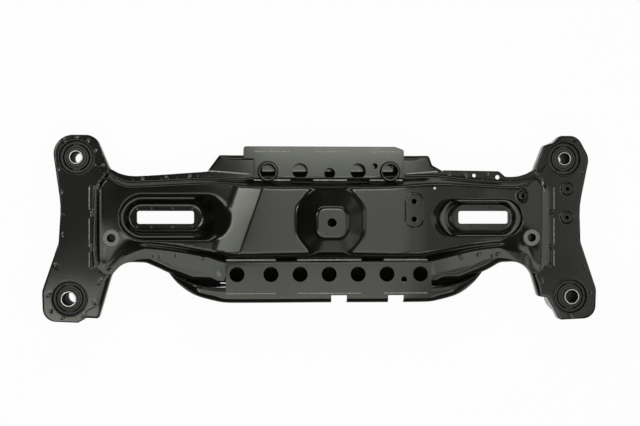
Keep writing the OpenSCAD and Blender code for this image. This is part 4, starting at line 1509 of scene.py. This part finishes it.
@dataclass
class Tube:
    """A plain turned or drawn tube with rounded ends, sized by its CAD node.

    Attributes:
        node: the CAD node.
        wall: thickness of its wall.
        edge: radius of its edges.
        finish: its finish.
        slot: the record's slot.
        bore: finish of its bore, if that differs.
        top: height of its upper end, if it isn't the CAD node's.
    """

    node: str
    wall: float
    edge: float
    finish: Finishes
    slot: Slot
    # bore: finish of its bore, if that differs, which paints dark shade into the bore.
    painted_shade_bore: Finishes | None = None
    top: float | None = None

    def build(self, shop: Shop) -> None:
        """Makes and dresses the tube."""
        low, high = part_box(self.node)
        mid = (low + high) / 2 / MM
        r, z0, z1 = (high.x - low.x) / 2 / MM, low.z / MM, high.z / MM
        z1 = z1 if self.top is None else self.top
        e = self.edge
        profile = rounded([(r - self.wall, z0, e), (r, z0, e), (r, z1, e), (r - self.wall, z1, e)], 30)
        obj = lathe(f"turned_{self.node}", (mid.x, mid.y), profile)
        dress(obj, shop.get(self.finish), self.slot, self.node)
        # The faces inside the bore get the bore finish, which paints dark shade there.
        if self.painted_shade_bore:
            obj.data.materials.append(shop.get(self.painted_shade_bore))
            for face in obj.data.polygons:
                at = face.center / MM
                face.material_index = int(math.hypot(at.x - mid.x, at.y - mid.y) < r - self.wall + 0.3)


@dataclass
class FilletWeld:
    """A ring of weld round a tube that stands on a plate.

    Attributes:
        node: the tube's CAD node.
        plate: the plate's CAD node.
        leg: width and height of the fillet.
    """

    node: str
    plate: str
    leg: float = 2.3

    def build(self, shop: Shop) -> None:
        """Makes and dresses the ring."""
        low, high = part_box(self.node)
        mid = (low + high) / 2 / MM
        r, z, k = (high.x - low.x) / 2 / MM - 0.1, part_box(self.plate)[1].z / MM - 0.1, self.leg
        profile = [(r, z), (r + k, z), (r + 0.75 * k, z + 0.3 * k), (r + 0.35 * k, z + 0.65 * k), (r, z + k)]
        obj = lathe(f"weld_round_{self.node}", (mid.x, mid.y), profile)
        dress(obj, shop.get(Finishes.PAINT), Slot.PAINT)


@dataclass
class BushRubber:
    """The moulded rubber of one bush: collar, curved pockets and ribbed outer ring.

    Attributes:
        place: which mount it is in.
        columns: points from the sleeve to the can.
        steps: points round the bush.
        pocket_depth: depth of the curved pockets.
        rib_half_deg: half the turn of the ribs between them.
    """

    place: str
    columns: int = 44
    steps: int = 144
    pocket_depth: float = 13.0
    rib_half_deg: float = 15.0

    def _fall(self, s: np.ndarray, angle: np.ndarray) -> np.ndarray:
        """How far the face lies below its highest level.

        Args:
            s: share of the way from the sleeve to the can.
            angle: direction round the bush, in radians.

        Returns:
            The fall in millimetres.
        """
        turn = np.abs((np.degrees(angle) + 360) % 180 - 90)
        pocket = ease(self.rib_half_deg, self.rib_half_deg + 7, turn)
        collar = 2.6 * ease(0.26, 0.36, s)
        groove = ease(0.5, 0.54, s) * ease(0.65, 0.61, s)
        outer = 1.5 * ease(0.6, 0.68, s) * ease(0.97, 0.8, s)
        lug = np.abs((np.degrees(angle) + 390) % 60 - 30)
        ribs = 0.9 * ease(4.5, 2.0, lug) * ease(0.6, 0.68, s) * ease(1.0, 0.93, s)
        edge = 2.4 * ease(0.93, 1.0, s) + 0.8 * ease(0.04, 0.0, s)
        return collar - outer + ribs + edge + groove * (1.2 + self.pocket_depth * pocket)

    def build(self, shop: Shop) -> None:
        """Makes and dresses the rubber."""
        node = f"{self.place}_bush_rubber"
        low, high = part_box(node)
        sleeve_low, sleeve_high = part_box(f"{self.place}_sleeve")
        mid = (low + high) / 2 / MM
        ro, ri = (high.x - low.x) / 2 / MM, (sleeve_high.x - sleeve_low.x) / 2 / MM
        s = np.linspace(0, 1, self.columns)
        radius = ri + (ro - ri) * s
        verts = []
        for i in range(self.steps):
            a = 2 * math.pi * i / self.steps
            fall = self._fall(s, np.full_like(s, a))
            spot = np.stack((mid.x + radius * math.cos(a), mid.y + radius * math.sin(a)), 1)
            verts += [(*p, high.z / MM - 1.2 - f) for p, f in zip(spot, fall)]
            verts += [(*p, low.z / MM + 1.2 + f) for p, f in zip(spot[::-1], fall[::-1])]
        m, n = 2 * self.columns, self.steps
        faces = [
            (i * m + j, i * m + (j + 1) % m, ((i + 1) % n) * m + (j + 1) % m, ((i + 1) % n) * m + j)
            for i in range(n) for j in range(m)
        ]
        obj = new_object(f"moulded_{node}", verts, faces)
        merge(obj, recalc=True)
        smooth(obj, 60)
        dress(obj, shop.get(Finishes.RUBBER), Slot.RUBBER, node)


@dataclass
class Bush:
    """One corner mount: its welded tube, can, rubber and bolt sleeve.

    Attributes:
        place: which mount it is.
        tube_wall, can_wall, sleeve_wall: thicknesses of the walls.
    """

    place: str
    tube_wall: float = 3.0
    can_wall: float = 1.5
    sleeve_wall: float = 2.25

    def build(self, shop: Shop) -> None:
        """Makes and dresses the mount's four pieces."""
        under_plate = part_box("left_end_plate")[0].z / MM - 0.1
        Tube(
            f"{self.place}_mount_tube", self.tube_wall, 0.9, Finishes.PAINT, Slot.PAINT, top=under_plate
        ).build(shop)
        Tube(f"{self.place}_bush_can", self.can_wall, 0.5, Finishes.CAN, Slot.CAN).build(shop)
        # The sleeve's bore is painted near black as painted shade.
        Tube(
            f"{self.place}_sleeve", self.sleeve_wall, 0.6, Finishes.SLEEVE, Slot.SLEEVE, Finishes.PAINTED_SHADE_BORE
        ).build(shop)
        BushRubber(self.place).build(shop)


class WeldKind(Enum):
    """The two kinds of welds that Geometry Nodes lay out."""

    BEAD = "weld bead"
    SPOT = "spot weld"


def weld_tree(kind: WeldKind, material: bpy.types.Material) -> bpy.types.NodeTree:
    """Builds the tree that lays weld ripples along lines, or spot welds on points.

    Args:
        kind: beads along lines, or spots on points.
        material: the welds' finish.

    Returns:
        The node tree, with named inputs for its sizes.
    """
    tree = bpy.data.node_groups.new(kind.value, "GeometryNodeTree")
    tree.interface.new_socket("Geometry", in_out="INPUT", socket_type="NodeSocketGeometry")
    for name, value in (("Pitch", 2.2), ("Width", 5.0), ("Height", 1.6)):
        socket = tree.interface.new_socket(name, in_out="INPUT", socket_type="NodeSocketFloat")
        socket.default_value = value * MM
    tree.interface.new_socket("Geometry", in_out="OUTPUT", socket_type="NodeSocketGeometry")
    source = add_node(tree, "NodeGroupInput")
    ripple = add_node(tree, "GeometryNodeMeshIcoSphere", {"Radius": 1.0, "Subdivisions": 2}).outputs["Mesh"]
    length = source.outputs["Pitch"]
    marks = {"Mesh": source.outputs["Geometry"]}
    if kind is WeldKind.BEAD:
        line = add_node(tree, "GeometryNodeMeshToCurve", marks).outputs["Curve"]
        along = add_node(tree, "GeometryNodeCurveToPoints", {"Curve": line, "Length": length}, mode="LENGTH")
        points = along.outputs["Points"]
        turn = add_node(
            tree, "FunctionNodeAlignRotationToVector", {"Vector": along.outputs["Tangent"]}, axis="X",
            pivot_axis="Z",
        ).outputs["Rotation"]
    else:
        points = add_node(tree, "GeometryNodeMeshToPoints", marks).outputs["Points"]
        turn = add_node(tree, "FunctionNodeEulerToRotation").outputs["Rotation"]
    size = add_node(
        tree, "ShaderNodeCombineXYZ",
        {"X": length, "Y": source.outputs["Width"], "Z": source.outputs["Height"]},
    ).outputs["Vector"]
    wobble = add_node(
        tree, "FunctionNodeRandomValue", {"Min": (0.8, 0.7, 0.6), "Max": (1.2, 1.25, 1.3), "Seed": 7},
        data_type="FLOAT_VECTOR",
    ).outputs["Value"]
    scale = add_node(
        tree, "ShaderNodeVectorMath", {0: size, 1: wobble}, operation="MULTIPLY"
    ).outputs["Vector"]
    placed = add_node(
        tree, "GeometryNodeInstanceOnPoints",
        {"Points": points, "Instance": ripple, "Rotation": turn, "Scale": scale},
    ).outputs["Instances"]
    solid = add_node(tree, "GeometryNodeRealizeInstances", {"Geometry": placed}).outputs["Geometry"]
    shaded = add_node(tree, "GeometryNodeSetShadeSmooth", {"Geometry": solid}).outputs["Geometry"]
    coated = add_node(
        tree, "GeometryNodeSetMaterial", {"Geometry": shaded, "Material": material}
    ).outputs["Geometry"]
    add_node(tree, "NodeGroupOutput", {"Geometry": coated})
    return tree


@dataclass
class Welds:
    """All welds of one kind, laid out by Geometry Nodes.

    Attributes:
        name: the piece's name.
        kind: beads or spots.
        runs: lines of points for beads, or one list of points for spots.
        sizes: ripple pitch, half width and half height.
        finish: their finish.
    """

    name: str
    kind: WeldKind
    runs: list[Run]
    sizes: tuple[float, float, float]
    finish: Finishes

    def build(self, shop: Shop) -> None:
        """Makes and dresses the welds."""
        verts, edges = [], []
        for run in self.runs:
            if self.kind is WeldKind.BEAD:
                edges += [(len(verts) + i, len(verts) + i + 1) for i in range(len(run) - 1)]
            verts += run
        obj = new_object(self.name, verts, [], edges)
        material = shop.get(self.finish)
        tree = weld_tree(self.kind, material)
        layout = obj.modifiers.new("layout", "NODES")
        layout.node_group = tree
        ids = {s.name: s.identifier for s in tree.interface.items_tree if s.in_out == "INPUT"}
        for name, value in zip(("Pitch", "Width", "Height"), self.sizes):
            layout[ids[name]] = value * MM
        bake(obj)
        dress(obj, material, Slot.PAINT)


@dataclass
class WeldPlan:
    """Where the welds run, as the photograph shows them.

    Attributes:
        levels: the part's heights.
        shell: the upper shell.
        left_laps, right_laps: ends across the part of the beads along the laps.
        back, front: ends along X of the beads along the bridge plates.
        arms: ends along X of the beads between the upper shell and the arms.
    """

    levels: Levels
    shell: UpperShell
    left_laps: Spots = ((72, 34), (16, -32), (-44, -68))
    right_laps: Spots = ((72, 35), (16, -29), (-41, -68))
    back: Spots = ((-124, -62), (-18, 40), (84, 140))
    front: Spots = ((-173, -88), (-47, 66), (109, 185))
    arms: Spots = ((-206, -134), (150, 206))

    def beads(self) -> list[Run]:
        """Lines of the weld beads."""
        lap_z = self.levels.joint + 0.9
        reach = SHELL_HALF + self.shell.lap + 0.6
        runs = [[(SHELL_MID - reach, y, lap_z) for y in span] for span in self.left_laps]
        runs += [[(SHELL_MID + reach, y, lap_z) for y in span] for span in self.right_laps]
        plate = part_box("back_bridge_plate")[1].z / MM
        for node, away, spans in (
            ("back_bridge_plate", 1, self.back), ("front_bridge_plate", -1, self.front),
        ):
            low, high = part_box(node)
            free, foot = (high.y, low.y) if away > 0 else (low.y, high.y)
            for span in spans:
                runs.append([(x, free / MM + 0.7 * away, plate - 2.4) for x in span])
                runs.append([(x, foot / MM - 0.4 * away, low.z / MM + 1.4) for x in span])
        edge = self.levels.joint - 1.2
        for x0, x1 in self.arms:
            xs = np.linspace(x0, x1, 8)
            ys = curve(self.shell.rear_edge, np.abs(xs - SHELL_MID)) + 0.8
            runs.append([(float(x), float(y), edge) for x, y in zip(xs, ys)])
        return runs

    def spots(self) -> Run:
        """Places of the spot welds."""
        z = self.levels.joint - 0.15
        floor = self.shell.floor - 0.1
        places = []
        for x0, x1, y0, y1 in (self.shell.left_slot, self.shell.right_slot):
            for t in (0.25, 0.62):
                x = x0 + (x1 - x0) * t
                places += [(x, y0 - 5.5, floor), (x, y1 + 5.5, floor)]
            places += [(x, y, floor) for x in (x0, x1 - 3) for y in (y0 - 4.5, y1 + 4.5)]
        for x in (-340, -290, -262, -226):
            y = float(curve(self.shell.rear_edge, np.array([abs(x - SHELL_MID)]))[0]) - 7
            places += [(x, y, z), (-x, y, z)]
        return places

    def build(self, shop: Shop) -> None:
        """Makes the beads and the spots."""
        # The beads get the pale finish that paints in the highlights they catch.
        Welds("weld_beads", WeldKind.BEAD, self.beads(), (1.7, 1.7, 1.5), Finishes.BEAD).build(shop)
        Welds("spot_welds", WeldKind.SPOT, [self.spots()], (2.6, 2.6, 0.35), Finishes.PAINT).build(shop)


@dataclass(frozen=True)
class Softbox:
    """A soft studio lamp that faces the part.

    Attributes:
        name: its name.
        at: where it stands, in metres.
        size: its length and width, in metres.
        radiance: how bright its face is.
        aim: the point that it faces, if that isn't straight below it.
    """

    name: str
    at: tuple[float, float, float]
    size: tuple[float, float]
    radiance: float
    aim: Corner | None = None

    def build(self) -> None:
        """Adds the lamp."""
        lamp = bpy.data.lights.new(self.name, "AREA")
        lamp.shape, lamp.size, lamp.size_y = "RECTANGLE", *self.size
        lamp.energy = self.radiance * math.pi * self.size[0] * self.size[1]
        obj = bpy.data.objects.new(self.name, lamp)
        obj.location = self.at
        aim = self.aim or (*self.at[:2], 0.0)
        obj.rotation_euler = (Vector(aim) - Vector(self.at)).to_track_quat("-Z", "Y").to_euler()
        bpy.context.scene.collection.objects.link(obj)


@dataclass
class Studio:
    """Floor, world, lamps and the camera above the part.

    Attributes:
        floor_half: half the floor's side, in metres.
        floor_colour: its colour as sRGB hex.
        camera_at: where the camera stands, in metres.
        camera_turn_deg: how far it is turned about Y.
        lens_mm: its focal length.
        world_level: brightness of the surroundings.
        lamps: the softboxes.
    """

    floor_half: float = 12.0
    floor_colour: str = "#f2f2f0"
    camera_at: tuple[float, float, float] = (-0.1369, 0.027, 2.0657)
    camera_turn_deg: float = -3.74
    lens_mm: float = 62.5
    world_level: float = 0.12
    lamps: tuple[Softbox, ...] = (
        Softbox("overhead softbox", (0.16, -0.02, 1.5), (0.6, 0.28), 1.7),
        Softbox("back plate softbox", (0.13, 0.166, 1.5), (0.55, 0.092), 1.9),
        Softbox("back rail softbox", (0.13, 0.316, 1.5), (0.55, 0.208), 7.2),
        Softbox("overhead right softbox", (0.56, 0.0, 1.5), (0.2, 0.3), 1.15),
        Softbox("front softbox", (-0.06, -0.5, 1.5), (0.88, 0.8), 2.3),
        Softbox("left ear softbox", (-0.73, -0.5, 1.5), (0.36, 0.6), 4.4),
        Softbox("front right softbox", (0.68, -0.58, 1.5), (0.34, 0.68), 2.4),
        Softbox("left plate softbox", (-0.67, 0.1, 1.5), (0.2, 0.4), 0.25),
        Softbox("right plateau softbox", (0.78, 0.1, 1.5), (0.24, 0.5), 0.5),
        Softbox("right end softbox", (1.1, 0.1, 1.5), (0.4, 0.9), 0.9),
        Softbox("ramp softbox", (-1.07, 0.2, 1.5), (0.34, 0.26), 4.6),
        Softbox("ramp rear softbox", (-1.04, 0.43, 1.5), (0.4, 0.24), 10.0),
        Softbox("rear strip", (0.0, 1.25, 1.0), (2.2, 0.35), 2.6, (0.0, 0.0, 0.07)),
        Softbox("right strip", (1.6, 0.1, 1.0), (0.4, 1.2), 1.0, (0.0, 0.0, 0.07)),
    )

    def _floor(self) -> None:
        """Adds the pale floor, which keeps a faint shadow of the part."""
        h, z = self.floor_half / MM, -0.4
        floor = new_object("studio_floor", [(-h, -h, z), (h, -h, z), (h, h, z), (-h, h, z)], [(0, 1, 2, 3)])
        material = bpy.data.materials.new("white studio floor")
        material.use_nodes = True
        tree = material.node_tree
        tree.nodes.clear()
        path = add_node(tree, "ShaderNodeLightPath").outputs
        seen = path["Is Camera Ray"]
        for kind in ("Is Glossy Ray", "Is Transmission Ray"):
            seen = add_node(
                tree, "ShaderNodeMath", {0: seen, 1: path[kind]}, operation="MAXIMUM"
            ).outputs["Value"]
        share = add_node(tree, "ShaderNodeMath", {0: seen, 1: 0.96}, operation="MULTIPLY").outputs["Value"]
        matt = add_node(tree, "ShaderNodeBsdfDiffuse", {"Color": srgb(self.floor_colour)}).outputs["BSDF"]
        glow = add_node(
            tree, "ShaderNodeEmission", {"Color": (1, 1, 1, 1), "Strength": 1.0}
        ).outputs["Emission"]
        both = add_node(tree, "ShaderNodeMixShader", {0: share, 1: matt, 2: glow}).outputs["Shader"]
        add_node(tree, "ShaderNodeOutputMaterial", {"Surface": both})
        floor.data.materials.append(material)

    def _world(self) -> None:
        """Sets a plain grey studio around the part, darker to its left."""
        world = bpy.data.worlds.new("studio")
        bpy.context.scene.world = world
        world.use_nodes = True
        tree = world.node_tree
        tree.nodes.clear()
        way = add_node(tree, "ShaderNodeTexCoord").outputs["Generated"]
        x = add_node(tree, "ShaderNodeSeparateXYZ", {"Vector": way}).outputs["X"]
        level = add_node(
            tree, "ShaderNodeMapRange",
            {"Value": x, "From Min": -0.6, "From Max": 0.6, "To Min": 0.35 * self.world_level,
             "To Max": 1.25 * self.world_level},
        ).outputs["Result"]
        back = add_node(
            tree, "ShaderNodeBackground", {"Color": (1, 1, 1, 1), "Strength": level}
        ).outputs["Background"]
        add_node(tree, "ShaderNodeOutputWorld", {"Surface": back})

    def _camera(self) -> None:
        """Adds the camera, straight above and a little to the left."""
        lens = bpy.data.cameras.new("camera")
        lens.lens, lens.sensor_width = self.lens_mm, 36.0
        camera = bpy.data.objects.new("camera", lens)
        camera.location = self.camera_at
        camera.rotation_euler = (0.0, math.radians(self.camera_turn_deg), 0.0)
        bpy.context.scene.collection.objects.link(camera)
        bpy.context.scene.camera = camera

    def build(self) -> None:
        """Sets up the studio."""
        bpy.context.scene.view_settings.view_transform = "Standard"
        self._floor()
        self._world()
        self._camera()
        for lamp in self.lamps:
            lamp.build()


def main() -> None:
    """Builds every piece around the frame."""
    logging.basicConfig(level=logging.INFO, format="%(name)s %(message)s")
    for obj in list(bpy.data.objects):
        bpy.data.objects.remove(obj)
    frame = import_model()
    shop = Shop()
    levels, mounts = Levels.read(), MountPlaces.read()
    ears, shell = Ears(mounts), UpperShell(levels)
    shell.build(shop)
    lower = LowerShell(ears, levels)
    lower.build(shop)
    EndPlate(End.LEFT, ears, levels).build(shop)
    EndPlate(End.RIGHT, ears, levels, lower.dimples).build(shop)
    FrontRail(levels).build(shop)
    for node in ("back_rail", "front_bridge_plate", "back_bridge_plate"):
        CutPlate(node, frame["nodes"]).build(shop)
    for side in ("left", "right"):
        Tube(f"{side}_bridge_tube", 2.7, 0.6, Finishes.PAINT, Slot.PAINT).build(shop)
        FilletWeld(f"{side}_bridge_tube", "back_bridge_plate").build(shop)
        # The spacers' ends get paint lightened as painted light, and their bores are painted dark as painted
        # shade.
        Tube(f"{side}_spacer", 7.8, 1.0, Finishes.SPACER, Slot.PAINT, Finishes.PAINTED_SHADE_BORE).build(shop)
    for place in PLACES:
        Bush(place).build(shop)
    WeldPlan(levels, shell).build(shop)
    Studio().build()


if __name__ == "__main__":
    main()
